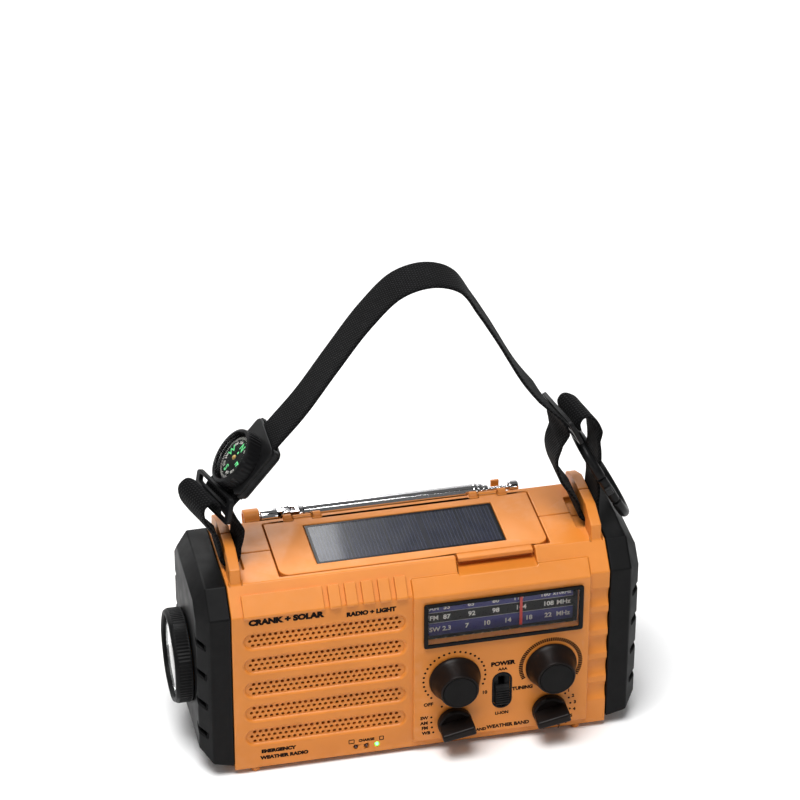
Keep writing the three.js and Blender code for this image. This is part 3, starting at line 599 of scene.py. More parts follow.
# ---------- housing ----------
def grille_holes():
    """Three staggered rows of round holes in the floor of each grille slot."""
    bm = bmesh.new()
    for middle in GRILLE_ROWS:
        for line, count in ((-2.35, 26), (0.0, 27), (2.35, 26)):
            for i in range(count):
                x = GRILLE_X + HOLE_PITCH * (i - (count - 1) / 2)
                place = aim((x, -27.5, middle + line), (0, -1, 0))
                turned([(0, 0), (HOLE_RADIUS, 0), (HOLE_RADIUS, 4.2), (0, 4.2)], place, 10, 0, None, bm)
    return bm


def grille_shoulders():
    """Soft rounded slopes from the face down to the floor of each grille slot."""
    bm = bmesh.new()
    profile = ((0.0, 0.02), (0.30, -0.03), (0.62, -0.17), (0.92, -0.40), (1.15, -0.68), (1.34, -0.97))
    for middle in GRILLE_ROWS:
        loops = [raised(slot_outline(GRILLE_X, middle, SLOT_LENGTH, SLOT_HEIGHT), FACE_Y + 1.0)]
        for inset, height in profile:
            outline = slot_outline(GRILLE_X, middle, SLOT_LENGTH - 2 * inset, SLOT_HEIGHT - 2 * inset)
            loops.append(raised(outline, FACE_Y - height))
        add_loops(bm, loops, ring=True)
    return bm


def front_softness(middle):
    """The rims of the grille slots take a smaller rounding."""
    if middle.x < -5.5 and 9 < middle.z < 71 and middle.y < -30:
        return 0.05
    return 1.0


def rear_softness(middle):
    """The thin clip that holds the folded antenna takes a smaller rounding."""
    if 43 < middle.x < 48.5 and middle.y > 22 and middle.z > 79:
        return 0.3
    return 1.0


def plain_slope(bm):
    """Takes the raised strips off the front slope and closes it; they are a piece of their own."""
    slope = Vector((0, -10, 9.8)).normalized()
    strips = []
    for face in bm.faces:
        spots = [(vert.co - ORIGIN) / MM for vert in face.verts]
        on_slope = all(spot.x < -5 and 77.9 < spot.z < 84.7 and spot.y < -25 for spot in spots)
        if on_slope and face.normal.dot(slope) < 0.9997:
            strips.append(face)
    bmesh.ops.delete(bm, geom=strips, context="FACES")
    bmesh.ops.holes_fill(bm, edges=[edge for edge in bm.edges if edge.is_boundary], sides=0)
    bmesh.ops.recalc_face_normals(bm, faces=bm.faces)
    bmesh.ops.dissolve_limit(bm, angle_limit=FLAT, verts=bm.verts, edges=bm.edges)


front = refined("front_shell", orange, 0.55, edit=plain_slope, softness=front_softness)
bm = bmesh.new()
for x0, x1 in [(-75, -41.3)] + [(-39.1 + 7 * i, -34.3 + 7 * i) for i in range(5)]:
    profile = ((-32.9, 77.5), (-32.9, 78.7), (-26.5, 85.4), (-24.9, 84.0), (-30.4, 77.5))
    add_loops(bm, [[point(x, y, z) for y, z in profile] for x in (x0, x1)])
piece("slope_strips", bm, orange, bevel=0.3)
drill(front, grille_holes(), "hole_cutter")
piece("grille_shoulders", grille_shoulders(), orange)
refined("rear_shell", orange, 0.5, softness=rear_softness)
refined("left_end_cap", caps, 0.6)
refined("right_end_cap", caps, 0.6)
refined("battery_door", orange, 0.35)
refined("solar_lid", orange, 0.4)
refined("port_cover", rubber, 0.5)

# ---------- solar panel ----------
def flat_loops(stack):
    """Outlines of the top view, each at its own height."""
    return [[point(x, y, z) for x, y in loop] for loop, z in stack]


x0, x1, y0, y1 = SOLAR
sheet = ((x0, y0), (x1, y0), (x1, y1), (x0, y1))
bm = bmesh.new()
add_loops(bm, flat_loops(((sheet, TOP_Z - 1.2), (sheet, TOP_Z - 0.4))))
piece("solar_cell_sheet", bm, cells, "solar_lid", "solar_panel", 0.2, 2)
BORDER = 1.1
outer = rounded_outline(x0, x1, y0, y1, 0.5, 3)
inner = rounded_outline(x0 + BORDER, x1 - BORDER, y0 + BORDER, y1 - BORDER, 0.5, 3)
low, high = TOP_Z - 0.5, TOP_Z - 0.33
bm = bmesh.new()
add_loops(bm, flat_loops(((outer, low), (outer, high), (inner, high), (inner, low))), ring=True)
piece("solar_border", bm, gloss, "solar_lid")

# ---------- dial ----------
x0, x1, z0, z1 = DIAL
outer = rounded_outline(x0, x1, z0, z1, 1.1)
inner = rounded_outline(x0 + 1.8, x1 - 1.8, z0 + 1.7, z1 - 1.7, 0.5)
bm = hollow(outer, inner, (PANEL_Y - 0.3, PANEL_Y - 1.3, PANEL_Y - 1.3, PANEL_Y - 0.3))
piece("dial_bezel", bm, gloss, replaces="dial_frame", bevel=0.3)
window = rounded_outline(x0 + 1.85, x1 - 1.85, z0 + 1.75, z1 - 1.75, 0.45)
bm = plate(window, PANEL_Y - 0.9, PANEL_Y - 0.4)
piece("dial_glass", bm, clear, replaces="dial_window", bevel=0.15, segments=2)

card = plate(rounded_outline(x0 + 0.5, x1 - 0.5, z0 - 0.5, 73.6, 0.6, 3), CARD_Y, CARD_Y + 0.8)
piece("dial_card_sheet", card, card_black, replaces="dial_card")
ROW_ENDS = (4.0, 65.6)


def across_card(bm, place, z, width):
    """A band or a line from end to end of the card."""
    stroke(bm, place, (ROW_ENDS[0], z), (ROW_ENDS[1], z), width)


card_front = facing_front(CARD_Y)
bands = bmesh.new()
across_card(bands, card_front, 56.2, 6.4)
across_card(bands, card_front, 69.0, 8.8)
piece("dial_blue_rows", bands, card_blue)
SHORT_WAVE = (("SW", 6.3), ("2.3", 11.5), ("7", 20.1), ("10", 28.6), ("14", 37.6), ("18", 46.7), ("22", 55.0),
              ("MHz", 61.4))
FM_ROW = (("FM", 6.0), ("87", 11.4), ("92", 22.1), ("98", 32.4), ("104", 43.2), ("108", 55.0), ("MHz", 61.5))
AM_ROW = (("AM", 6.0), ("53", 11.4), ("65", 21.7), ("80", 32.3), ("110", 42.0), ("160", 53.6))
card_front = facing_front(CARD_Y - 0.06)  # the figures stand on top of the bands
figures = bmesh.new()
across_card(figures, card_front, 59.42, 0.10)
across_card(figures, card_front, 64.6, 0.10)
for row, z, size, bold in (
        (SHORT_WAVE, 56.0, 3.1, 0.09), (FM_ROW, 61.9, 3.1, 0.09), (AM_ROW, 66.8, 2.9, 0.07)):
    for text, x in row:
        lettering(figures, text, card_front, x, z, size, bold)
lettering(figures, "x10kHz", card_front, 60.8, 66.8, 2.5, 0.07)
piece("dial_figures", figures, print_white)
refined("tuning_pointer", pointer_red, 0.15, 2)

# ---------- knobs ----------
def spindle(place, bm):
    """The shaft behind a knob, down to the board."""
    turned([(0, 0.6), (2.9, 0.6), (2.9, -9.6), (2.5, -10.2), (0, -10.2)], place, 32, 0.2, None, bm)


def round_knob(name, centre):
    x, z = centre
    place = aim((x, PANEL_Y, z), (0, -1, 0))
    bm = turned([(0, 0.4), (11.0, 0.4), (11.0, 1.5), (10.35, 2.6), (9.75, 4.2), (8.35, 9.4), (8.0, 10.35),
                 (7.35, 10.45), (7.15, 10.2), (0, 10.2)], place, 96, 0.35)
    spindle(place, bm)
    piece(name + "_cone", bm, knob_skin, name, name)
    bm = turned([(0, 10.1), (7.05, 10.1), (7.0, 10.62), (6.6, 10.7), (0, 10.7)], place, 96, 0.15)
    piece(name + "_face", bm, knob_face, name)


def selector_knob(name, centre):
    """A low disc with a wing across it that is wider at one end."""
    x, z = centre
    place = aim((x, PANEL_Y, z), (0, -1, 0))
    bm = turned([(0, 0.4), (7.4, 0.4), (7.4, 2.6), (6.9, 3.5), (6.3, 3.7), (6.0, 3.2), (0, 3.2)],
                place, 80, 0.3)
    spindle(place, bm)
    piece(name + "_disc", bm, knob_skin, name, name)
    c, s = math.cos(SELECTOR_TILT), math.sin(SELECTOR_TILT)
    loops = []
    for height, half, low, high in ((3.0, 7.0, 2.3, 2.9), (6.5, 7.2, 2.1, 2.5), (9.9, 7.2, 1.75, 2.1),
                                    (10.7, 7.0, 1.35, 1.75)):
        outline = ((-half, -low), (half, -high), (half, high), (-half, low))
        loops.append([point(x + u * c - v * s, PANEL_Y - height, z + u * s + v * c) for u, v in outline])
    bm = bmesh.new()
    add_loops(bm, loops)
    piece(name + "_wing", bm, knob_skin, name, bevel=0.7, segments=4)


round_knob("volume_knob", VOLUME)
round_knob("tuning_knob", TUNING)
selector_knob("band_knob", BAND)
selector_knob("weather_knob", WEATHER)

# ---------- power switch ----------
sx, sz = SWITCH
low, high = PANEL_Y - 1.45, PANEL_Y - 2.0  # the grooves and the ribs of the slider
profile = [(PANEL_Y + 0.8, -4.6), (PANEL_Y - 1.3, -4.6)]
for i in range(7):
    start = -4.1 + 1.2 * i
    profile += [(high, start), (high, start + 0.55), (low, start + 0.75), (low, start + 1.0)]
profile = [p for p in profile if p[1] < 4.5] + [(PANEL_Y - 1.3, 4.6), (PANEL_Y + 0.8, 4.6)]
bm = bmesh.new()
add_loops(bm, [[point(sx + u, y, sz + v) for y, v in profile] for u in (-2.9, 2.9)])
block(sx - 1.3, sx + 1.3, PANEL_Y + 0.7, -27.2, sz - 2.5, sz + 2.5, bm)
block(sx - 3, sx + 3, -28.6, -26, sz - 4, sz + 4, bm)
piece("power_slider_ribs", bm, rubber, "power_slider", "power_slider", 0.12, 2)
outer = slot_outline(sx, SWITCH_SLOT_Z, 8.6, 18.7)
inner = slot_outline(sx, SWITCH_SLOT_Z, 7.2, 17.3)
bm = hollow(outer, inner, (PANEL_Y + 0.05, PANEL_Y - 0.12, PANEL_Y - 0.12, PANEL_Y + 1.15))
piece("switch_surround", bm, gloss)
floor = slot_outline(sx, SWITCH_SLOT_Z, 7.4, 17.5)
hole = rounded_outline(sx - 1.7, sx + 1.7, SWITCH_SLOT_Z - 6.6, SWITCH_SLOT_Z + 6.6, 0.2, 12)
bm = hollow(floor, hole, (PANEL_Y + 1.18, PANEL_Y + 1.02, PANEL_Y + 1.02, PANEL_Y + 1.18))
liner = rounded_outline(sx - 1.42, sx + 1.42, SWITCH_SLOT_Z - 6.5, SWITCH_SLOT_Z + 6.5, 0.1, 12)
hollow(liner, hole, (PANEL_Y + 1.1, -29.3, -29.3, PANEL_Y + 1.1), bm)
piece("switch_floor", bm, rubber)

# ---------- printed panel ----------
panel = facing_front(PANEL_Y)
bm = bmesh.new()
lettering(bm, "POWER", panel, 34.3, 38.7, 2.8, 0.17, stretch=1.05)
for text, x, z, size, bold in (
        ("AAA", 34.3, 35.8, 1.9, 0.09), ("LI-ION", 34.2, 12.9, 2.0, 0.09), ("TUNING", 43.0, 24.7, 2.3, 0.13),
        ("WEATHER BAND", 37.0, 6.2, 2.4, 0.11), ("OFF", 2.4, 22.2, 2.3, 0.10), ("10", 26.6, 24.8, 2.3, 0.10),
        ("BAND", 24.8, 5.6, 2.0, 0.09)):
    lettering(bm, text, panel, x, z, size, bold)
for text, x, z in (("SW", 0.6, 15.4), ("AM", 0.6, 12.7), ("FM", 0.9, 10.1), ("WB", 1.5, 7.4)):
    lettering(bm, text, panel, x, z, 2.2, 0.10)
    dot(bm, panel, x + 3.1, z, 0.48)
dot(bm, panel, 8.2, 20.3, 0.5)
for x, z in arc(VOLUME, 13.3, 222, -22, 25):
    dot(bm, panel, x, z, 0.5)
for start, end in zip(arc(TUNING, 12.05, 205, -30, 58), arc(TUNING, 13.75, 205, -30, 58)):
    stroke(bm, panel, start, end, 0.66)
for text, (x, z) in zip("1234567", arc(WEATHER, 11.6, 42, -66, 7)):
    lettering(bm, text, panel, x, z, 2.1, 0.10)
for x, z in arc(WEATHER, 9.6, 42, -66, 7):
    dot(bm, panel, x, z, 0.45)
piece("panel_print", bm, print_black)

face = facing_front(FACE_Y)
bm = bmesh.new()
for text, x, z, size, bold, stretch in (
        ("CRANK + SOLAR", -57.4, 74.7, 3.7, 0.26, 1.1), ("RADIO + LIGHT", -21.7, 72.8, 2.8, 0.2, 1.05),
        ("CHARGE", LIGHTS[1], 7.0, 1.7, 0.1, 1.0), ("EMERGENCY", -61.5, 8.2, 2.3, 0.16, 1.1),
        ("WEATHER RADIO", -59.0, 4.9, 2.3, 0.16, 1.1)):
    lettering(bm, text, face, x, z, size, bold, stretch=stretch)
for x, half in ((LIGHTS[0] - 1.9, 1.1), (LIGHTS[2] + 1.9, 0.8)):  # a box icon by each outer light
    for z in (6.1, 7.9):
        stroke(bm, face, (x - half, z), (x + half, z), 0.34)
    for u in (x - half, x + half):
        stroke(bm, face, (u, 6.1), (u, 7.9), 0.34)
piece("face_print", bm, print_black)

# ---------- indicator lights ----------
for i, (x, finish) in enumerate(zip(LIGHTS, (led_dark, led_dark, led_green))):
    place = aim((x, FACE_Y + 1.6, LIGHTS_Z), (0, -1, 0))
    bm = turned([(0, 0), (0.72, 0), (0.72, 1.35), (0.5, 1.75), (0, 1.9)], place, 24, 0.2)
    piece(f"indicator_{i + 1}", bm, finish)
carried("light_guide", clear, 0.1)

# ---------- flashlight ----------
lamp = aim((0, 0, LAMP_Z), (-1, 0, 0))


def bezel_wave(angle, height):
    """Seven broad grooves round the bezel and a fine knurl on its middle."""
    grooves = 0.028 * (0.5 + 0.5 * math.cos(7 * angle)) ** 0.6
    knurl = 0.012 * (0.5 + 0.5 * math.cos(84 * angle)) if 95.2 < height < 100.2 else 0.0
    return 1 - grooves - knurl


bm = turned([(17.6, 94.35), (20.3, 94.35), (20.4, 95.4), (20.4, 100.0), (19.6, 101.6), (18.6, 101.95),
             (17.7, 101.2), (17.6, 100.9)], lamp, 336, 0.35, bezel_wave)
piece("lamp_bezel", bm, caps, replaces="flashlight_bezel")
bm = turned([(3, 82), (3.6, 82), (7.4, 84.4), (11.4, 88.2), (14.6, 93.0), (17.1, 98.8), (16.6, 98.8),
             (14.2, 93.6), (11.0, 89.0), (7.0, 85.2), (3, 83.2)], lamp, 96, 0.25)
piece("lamp_reflector", bm, mirror, replaces="flashlight_reflector")
bm = turned([(0, 99.2), (17.2, 99.2), (17.2, 100.1), (14, 100.45), (0, 100.6)], lamp, 96, 0.15)
piece("lamp_lens", bm, clear, replaces="flashlight_lens")
bm = turned([(0, 82.2), (2.4, 82.2), (2.4, 83.2), (1.7, 84.3), (0, 84.6)], lamp, 40, 0.15)
piece("lamp_led", bm, led_white, replaces="flashlight_led")

# ---------- antenna ----------
rod_axis = aim((0, ANTENNA_Y, ANTENNA_Z), (1, 0, 0))
bm = turned([(0, -63.6), (2.1, -63.6), (2.1, -56.6), (3.3, -56.6), (3.3, -49.4), (0, -49.4)],
            rod_axis, 48, 0.25)
TONGUE = 2.6
tongue = arc((ANTENNA_PIVOT, ANTENNA_Z), TONGUE, -90, 90, 19)
plate(tongue + [(-50, ANTENNA_Z + TONGUE), (-50, ANTENNA_Z - TONGUE)], ANTENNA_Y - 1.1, ANTENNA_Y + 1.1, bm)
piece("antenna_foot", bm, chrome, "antenna_swivel", "antenna_base")
refined("antenna_knuckle", chrome, 0.3)
bm = turned([(3.25, -38.1), (3.25, 35.2), (3.38, 35.5), (3.38, 36.7), (3.1, 37.0), (2.95, 37.0),
             (2.95, -37.6), (2.6, -38.1)], rod_axis, 48, 0.08)
piece("antenna_outer_tube", bm, chrome, "antenna_mast", "antenna_tube")
for node, start, end, r, collar, body in (
        ("antenna_section_2", -36, 37.3, 2.6, 3.0, "antenna_stage_2"),
        ("antenna_section_3", -34, 39.7, 1.75, 2.2, "antenna_stage_3")):
    bm = turned([(r - 0.35, start), (r, start), (r, end), (collar, end + 0.1), (collar, end + 1.5),
                 (r, end + 2.1), (r - 0.35, end + 2.1)], rod_axis, 40, 0.1)
    piece(node + "_tube", bm, chrome, body, node)
bm = turned([(0, -32), (1.05, -32), (1.05, 50.3), (2.35, 50.5), (2.7, 51.1), (2.7, 54.2), (2.2, 54.9),
             (0, 55.1)], rod_axis, 40, 0.25)
piece("antenna_end", bm, chrome, "antenna_stage_4", "antenna_tip")

# ---------- back ----------
def middle_x(node):
    """The middle of a CAD node along the radio, in the housing's frame."""
    low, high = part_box(node)
    return ((low.x + high.x) / 2 - ORIGIN.x) / MM


def grip_wave(angle, height):
    """Twelve soft ribs round the crank knob."""
    return 1 - 0.05 * (0.5 + 0.5 * math.cos(12 * angle)) ** 2 if 1.5 < height < 8.6 else 1.0


def cross_outline(reach, half):
    """The twelve corners of a plus sign."""
    arm = ((reach, -half), (reach, half), (half, half))
    turns = ((1, 0), (0, 1), (-1, 0), (0, -1))
    return [(u * c - v * s, u * s + v * c) for c, s in turns for u, v in arm]


refined("crank_hub", caps, 0.4)
refined("crank_arm", caps, 0.5)
place = aim((middle_x("crank_knob"), CRANK_KNOB_Y, CRANK_Z), (0, 1, 0))
bm = turned([(1.9, 1.2), (0.6, 0.9), (0.6, 0.0), (5.0, 0.0), (6.0, 1.0), (6.0, 9.0), (5.4, 10.4), (4.4, 11.2),
             (1.9, 11.2)], place, 120, 0.3, grip_wave)
piece("crank_grip", bm, rubber, "crank_knob", "crank_knob")
for node, finish, z, slot in (
        ("flashlight_button", rubber, 40, "rubber"), ("sos_button", red_cap, 58, "button_red")):
    place = aim((middle_x(node), 0, z), (0, 1, 0))
    bm = turned([(0, 25.6), (6.6, 25.6), (6.6, 28.6), (5.0, 28.6), (4.75, 32.2), (4.2, 33.0), (2.6, 32.75),
                 (0, 32.6)], place, 64, 0.35)
    piece(node + "_cap", bm, finish, node, node)
for i, (x, z) in enumerate(SCREWS):
    place = aim((x, 0, z), (0, 1, 0))
    bm = turned([(0, 14), (1.2, 14.6), (1.2, 30.3), (2.6, 30.4), (2.6, 30.9), (2.1, 31.35), (0, 31.4)],
                place, 40, 0.15)
    head = piece(f"screw_{i + 1}", bm, steel, replaces=f"rear_screw_{i + 1}")
    cross = [(x + u, z + v) for u, v in cross_outline(1.7, 0.33)]
    drill(head, plate(cross, 30.7, 33), "cross_cutter")
bm = bmesh.new()
for i in range(9):
    block(28 + 4 * i, 29.2 + 4 * i, 31.3, 31.9, 35, 48, bm)
piece("door_grip", bm, orange, "battery_door", bevel=0.25)
upright = Matrix.Rotation(math.pi / 2, 4, "X")
back = Matrix.Translation(point(0, -FACE_Y, 0)) @ Matrix.Rotation(math.pi, 4, "Z") @ upright
bm = bmesh.new()
lettering(bm, "SOS", back, 67.5, 67.0, 3.0, 0.06)
lettering(bm, "LIGHT", back, 67.5, 31.5, 2.6, 0.05)
lettering(bm, "DC 5V", back, -61.0, 27.6, 2.2, 0.05)
piece("back_print", bm, print_black)

# ---------- strap ----------
LEFT_END = [
    (-83.1, 115.5), (-83.4, 119.4), (-86.2, 121.4), (-89.6, 118.6), (-89.6, 113.5), (-86.4, 107.5),
    (-82.4, 101.5), (-80, 96.5), (-79.9, 92.4), (-78.6, 90.1), (-76.2, 89.5), (-73.8, 90.1),
    (-72.4, 92.4), (-72, 98), (-73.6, 106), (-77, 113), (-78.3, 117.4), (-76.8, 120)]
CARRY = [
    (-72.4, 124.3), (-64.4, 134.1), (-56.4, 143.9), (-44, 158.5), (-31, 177), (-17, 196),
    (-4, 208.5), (9, 211.5), (20, 207.5), (28, 195.5), (36, 181.5), (47.3, 160.4)]
RIGHT_END = [
    (57.4, 146.2), (62.2, 139.6), (64.4, 134.4), (63.6, 128), (61.8, 120.3), (63.8, 111),
    (68.6, 103), (71.6, 98), (72.3, 92.4), (73.8, 90.1), (76.2, 89.5), (78.6, 90.1), (79.9, 92.4),
    (79.9, 97), (80.2, 103), (79.8, 109), (79.6, 114), (80.3, 119), (79.8, 126), (78.5, 133),
    (75, 139.4), (70.8, 141), (68.9, 138.4), (69.4, 134.8)]


def catmull(points, steps):
    """Centripetal curve through the points, as (x, z) samples."""
    pts = [Vector(p) for p in points]
    pts = [pts[0] * 2 - pts[1]] + pts + [pts[-1] * 2 - pts[-2]]
    out = []
    for a, b, c, d in zip(pts, pts[1:], pts[2:], pts[3:]):
        ta = max((b - a).length ** 0.5, 1e-4)
        tb = max((c - b).length ** 0.5, 1e-4)
        tc = max((d - c).length ** 0.5, 1e-4)
        m1 = ((b - a) / ta - (c - a) / (ta + tb) + (c - b) / tb) * tb
        m2 = ((c - b) / tb - (d - b) / (tb + tc) + (d - c) / tc) * tb
        for i in range(steps):
            t = i / steps
            out.append(b * (2 * t ** 3 - 3 * t ** 2 + 1) + m1 * (t ** 3 - 2 * t ** 2 + t)
                       + c * (3 * t ** 2 - 2 * t ** 3) + m2 * (t ** 3 - t ** 2))
    return out + [pts[-2]]


def fade(value):
    return min(1.0, max(0.0, value))


def twist(x, y, z):
    """The webbing leans where it runs through the two sliders."""
    if x < 0:
        lean = LEFT_LEAN * fade((z - 97) / 9) * fade((127 - z) / 5)
    else:
        lean = RIGHT_LEAN * fade((z - 128) / 5) * fade((150 - z) / 9)
    return x - lean * y


def strap():
    """The webbing along its path, with its length and width as UV for the weave."""
    line = catmull(LEFT_END + CARRY + RIGHT_END, 12)
    half, thick, across = 10.0, 0.7, 20
    section = []
    for i in range(across + 1):
        s = -1 + 2 * i / across
        edge = min(1.0, (1 - abs(s)) * 10)
        section.append((half * s, thick * (0.55 + 0.45 * edge ** 0.5)))
    section += [(y, -h) for y, h in reversed(section)]
    bm = bmesh.new()
    uv = bm.loops.layers.uv.new("UVMap")
    run, loops, lengths = 0.0, [], []
    for i, p in enumerate(line):
        before, after = line[max(i - 1, 0)], line[min(i + 1, len(line) - 1)]
        ahead = (after - before).normalized()
        out = Vector((-ahead.y, ahead.x))
        if i:
            run += (p - line[i - 1]).length
        lengths.append(run)
        ring = []
        for y, h in section:
            x, z = p.x + out.x * h, p.y + out.y * h
            ring.append(bm.verts.new(point(twist(x, y, z), y, z)))
        loops.append(ring)
    size = len(section)
    offsets = [y for y, _ in section]
    for a, b, la, lb in zip(loops, loops[1:], lengths, lengths[1:]):
        for i in range(size):
            j = (i + 1) % size
            face = bm.faces.new((a[i], a[j], b[j], b[i]))
            places = ((la, offsets[i]), (la, offsets[j]), (lb, offsets[j]), (lb, offsets[i]))
            for loop, (length, width) in zip(face.loops, places):
                loop[uv].uv = (length / 1000, width / 1000)
    for ring in (loops[0], loops[-1]):
        bm.faces.new(ring)
    return bm


piece("woven_strap", strap(), webbing, replaces="strap_webbing")


def strap_frame(x, z, dx, dz):
    """A frame that lies on the strap: its X runs along it, its Y across and its Z out of it."""
    return Matrix.Translation(point(x, 0, z)) @ Matrix.Rotation(-math.atan2(dz, dx), 4, "Y")


def leaning(place, outline, heights, lean):
    """An outline on the strap at each height, leaning with the webbing."""
    loops = []
    for h in heights:
        loops.append([place @ (Vector((u, v, h)) * MM) - Vector((lean * v * MM, 0, 0)) for u, v in outline])
    return loops


def triglide(name, node, place, lean):
    """A slider: a rounded plate with two windows for the webbing."""
    bm = bmesh.new()
    add_loops(bm, leaning(place, rounded_outline(-6.5, 6.5, -13.3, 13.3, 2.2, 5), (-0.9, 0.9), lean))
    obj = piece(name, bm, hard_black, replaces=node)
    cut = bmesh.new()
    for u0, u1 in ((-5.0, -1.4), (1.4, 5.0)):
        add_loops(cut, leaning(place, rounded_outline(u0, u1, -10.7, 10.7, 0.7, 3), (-3, 3), lean))
    drill(obj, cut, "window_cutter")
    smooth(obj.data)
    add_bevel(obj, 0.35)


triglide("slider_left", "triglide_left", strap_frame(-80.5, 117.6, 0.15, 0.99), LEFT_LEAN)
triglide("slider_right", "triglide_right", strap_frame(66.3, 135.5, 0.43, -0.9), RIGHT_LEAN)

# ---------- compass ----------
compass = strap_frame(-62.5, 132.5, 0.632, 0.775)
pivot = compass @ Matrix.Translation(Vector((-3.4, 0, 0)) * MM)
bm = bmesh.new()
outer = rounded_outline(-12.6, 12.6, -14, 14, 3.0, 6)
add_loops(bm, layers(compass, outer, (0.0, 1.4)))
add_loops(bm, layers(compass, outer, (3.5, 4.8)))
for v0, v1 in ((-14, -10.5), (10.5, 14)):
    add_loops(bm, layers(compass, rounded_outline(-12.6, 12.6, v0, v1, 0.8, 3), (1.3, 3.6)))
piece("compass_base", bm, hard_black, replaces="compass_holder", bevel=0.35)


def rim_wave(angle, height):
    """Forty notches round the side of the rim."""
    return 1 - (0.022 * (0.5 + 0.5 * math.cos(40 * angle)) if 5.2 < height < 10.4 else 0)


bm = turned([(10.6, 5.2), (12.2, 4.7), (12.3, 5.6), (12.3, 9.8), (11.9, 11.2), (10.7, 11.4), (10.6, 10.9)],
            pivot, 240, 0.2, rim_wave)
piece("compass_rim", bm, hard_black)
bm = turned([(0, 4.5), (10.9, 4.5), (10.9, 5.9), (0, 5.9)], pivot, 64, 0.1)
piece("compass_cup", bm, card_black)
CARD_TOP = 9.0
bm = turned([(0, 8.2), (9.7, 8.2), (9.7, CARD_TOP), (0, CARD_TOP)], pivot, 64, 0.12)
piece("compass_disc", bm, card_black, "compass_card", "compass_card")
bm = turned([(0, 6.6), (1.1, 6.6), (1.1, 9.4), (0.5, 9.9), (0, 10.0)], pivot, 32, 0.2)
piece("compass_pivot", bm, brass, "compass_card")
printed = pivot @ Matrix.Translation(Vector((0, 0, CARD_TOP)) * MM) @ Matrix.Rotation(-math.pi / 2, 4, "Z")
white_bm, green_bm = bmesh.new(), bmesh.new()
for i in range(72):
    a = 2 * math.pi * i / 72
    start = 8.2 if i % 6 else 7.7
    out = Vector((math.sin(a), math.cos(a)))
    stroke(white_bm, printed, out * start, out * 9.2, 0.16)
for i, text in enumerate("NESW"):
    a = math.pi / 2 * i
    lettering(green_bm, text, printed, 5.2 * math.sin(a), 5.2 * math.cos(a), 4.2, 0.10, -a)
    for k in (1, 2):
        b = a + math.pi / 6 * k
        degrees = str(i * 90 + k * 30)
        lettering(white_bm, degrees, printed, 6.6 * math.sin(b), 6.6 * math.cos(b), 1.7, 0.02, -b)
stroke(green_bm, printed, (0, 2.0), (0, 3.0), 0.8)
piece("compass_figures", white_bm, print_white, "compass_card")
piece("compass_letters", green_bm, print_green, "compass_card")
bm = turned([(0, 12.7), (5.5, 12.25), (9.0, 11.0), (9.6, 10.6), (10.25, 10.6), (10.25, 11.5), (8.0, 12.5),
             (4.5, 13.2), (0, 13.4)], pivot, 96, 0.6)
piece("compass_bubble", bm, bubble_clear, replaces="compass_dome")

# ---------- carabiner ----------
hook = strap_frame(73, 125, 0.481, -0.877)
BOW, BAR, LONG = 13.4, 2.15, 42.2  # radius of the bends, radius of the bar, length


def hook_path():
    """The bar from the gate round both ends, without the side that the gate closes."""
    bar = [(BOW + (LONG - 2 * BOW) * i / 12, BOW) for i in range(1, 12)]
    path = arc((BOW, 0), BOW, -90, -270, 25) + bar + arc((LONG - BOW, 0), BOW, 90, -90, 25)
    return layers(hook, path, (0,))[0]


out_of_plane = (hook.to_3x3() @ Vector((0, 0, 1))).normalized()
bow = swept(hook_path(), circle(BAR, 20), out_of_plane)
piece("carabiner_bow", bow, hard_black, "carabiner", "carabiner_body", 0.4)
gate_axis = hook @ Matrix.Translation(Vector((14.4, -BOW, 0)) * MM) @ Matrix.Rotation(math.pi / 2, 4, "Y")
bm = turned([(0, 0), (1.7, 0), (2.0, 0.5), (2.0, 12.9), (1.7, 13.4), (0, 13.4)], gate_axis, 32, 0.2)
nub = rounded_outline(18.6, 22.4, -BOW - 3.2, -BOW, 1.2, 5)
add_loops(bm, layers(hook, nub, (-1.4, 1.4)))
piece("carabiner_latch", bm, hard_black, "carabiner_gate", "carabiner_gate")

# ---------- carried over from the CAD ----------
for node, finish, bevel, slot in (
        ("speaker_frame", steel, 0.2, "steel"), ("speaker_cone", paper, 0.05, "paper_cone"),
        ("speaker_magnet", steel, 0.4, "steel"), ("main_board", board, 0.1, "circuit_board"),
        ("tuning_capacitor", white_plastic, 0.3, "white_plastic"),
        ("battery_pack", wrap, 0.3, "battery_wrap"), ("reading_lamp", diffuser, 0.2, "diffuser"),
        *[(f"aaa_cell_{i}", steel, 0.2, "battery_can") for i in (1, 2, 3)],
        ("crank_gear", white_plastic, 0.1, "white_plastic"),
        ("idler_gear", white_plastic, 0.1, "white_plastic"),
        ("generator_pinion", brass, 0.08, "brass"), ("generator", steel, 0.3, "steel"),
        ("port_block", caps, 0.15, "black_shell")):
    carried(node, finish, bevel)

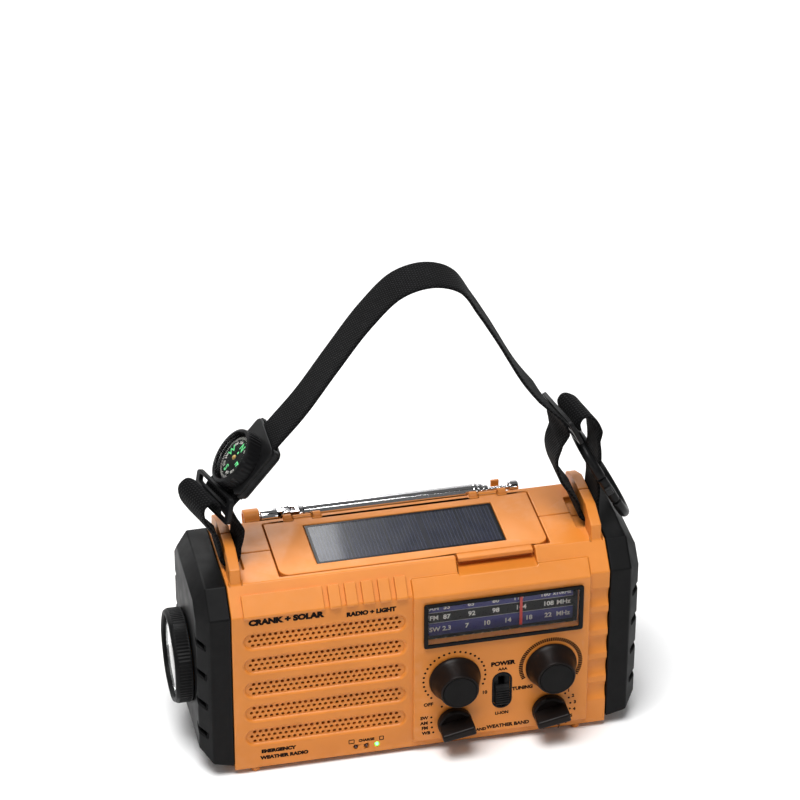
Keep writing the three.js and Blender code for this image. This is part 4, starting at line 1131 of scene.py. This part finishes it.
# ---------- floor, light and camera, in metres ----------
pale = moulded("pale_paper", (0.95, 0.95, 0.95), 0.8, grain=300.0, relief=0.002, wear=0.0, mottle=0.006)
FLOOR_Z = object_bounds()[0].z
bend = [math.pi / 2 * i / 24 for i in range(25)]
profile = [(-2.5, 0.0)] + [(0.9 + 0.6 * math.sin(a), 0.6 * (1 - math.cos(a))) for a in bend] + [(1.5, 2.6)]
bm = bmesh.new()
rows = [[bm.verts.new((x, y, z + FLOOR_Z)) for x in (-3.5, 3.5)] for y, z in profile]
for a, b in zip(rows, rows[1:]):
    bm.faces.new((a[0], a[1], b[1], b[0]))
mesh = bpy.data.meshes.new("floor")
bm.to_mesh(mesh)
bm.free()
mesh.materials.append(pale)
smooth(mesh)
backdrop = bpy.data.objects.new("floor", mesh)
bpy.context.scene.collection.objects.link(backdrop)
AIM = Vector((0, 0, 0.08))


def softbox(name, place, size, power):
    data = bpy.data.lights.new(name, "AREA")
    data.shape = "RECTANGLE"
    data.size, data.size_y = size
    data.energy = power
    obj = bpy.data.objects.new(name, data)
    obj.location = place
    obj.rotation_euler = (AIM - Vector(place)).to_track_quat("-Z", "Y").to_euler()
    bpy.context.scene.collection.objects.link(obj)


softbox("key", (-0.25, -0.42, 1.5), (0.9, 0.7), 27)
softbox("front", (0.75, -1.5, 0.95), (0.6, 0.4), 2.6)
softbox("left", (-1.5, 0.1, 0.8), (0.4, 0.7), 1.2)
softbox("rear", (-0.146, 1.3, 1.05), (0.8, 0.5), 9)
world = bpy.data.worlds.new("studio")
world.use_nodes = True
sky = world.node_tree.nodes["Background"]
sky.inputs["Color"].default_value = (1.0, 1.0, 1.0, 1)
sky.inputs["Strength"].default_value = 0.17
scene = bpy.context.scene
scene.world = world
scene.view_settings.view_transform = "Standard"
scene.view_settings.gamma = 0.9

# The camera was fitted to the photo's proportions: where it stands, and how it is turned.
CAMERA_PLACE = (-284.8, -1251.8, 971.0)
azimuth, elevation, roll = (math.radians(a) for a in (-12.70, 32.49, 0.15))
camera = bpy.data.cameras.new("camera")
camera.lens = 168.06
camera.sensor_width = 36
camera.clip_end = 20
view = bpy.data.objects.new("camera", camera)
level = math.cos(elevation)
back_axis = Vector((math.sin(azimuth) * level, -math.cos(azimuth) * level, math.sin(elevation)))
right = Vector((0, 0, 1)).cross(back_axis).normalized()
up = back_axis.cross(right)
c, s = math.cos(roll), math.sin(roll)
turn = Matrix((c * right + s * up, c * up - s * right, back_axis)).transposed().to_4x4()
view.matrix_world = Matrix.Translation(point(*CAMERA_PLACE)) @ turn
scene.collection.objects.link(view)
scene.camera = view
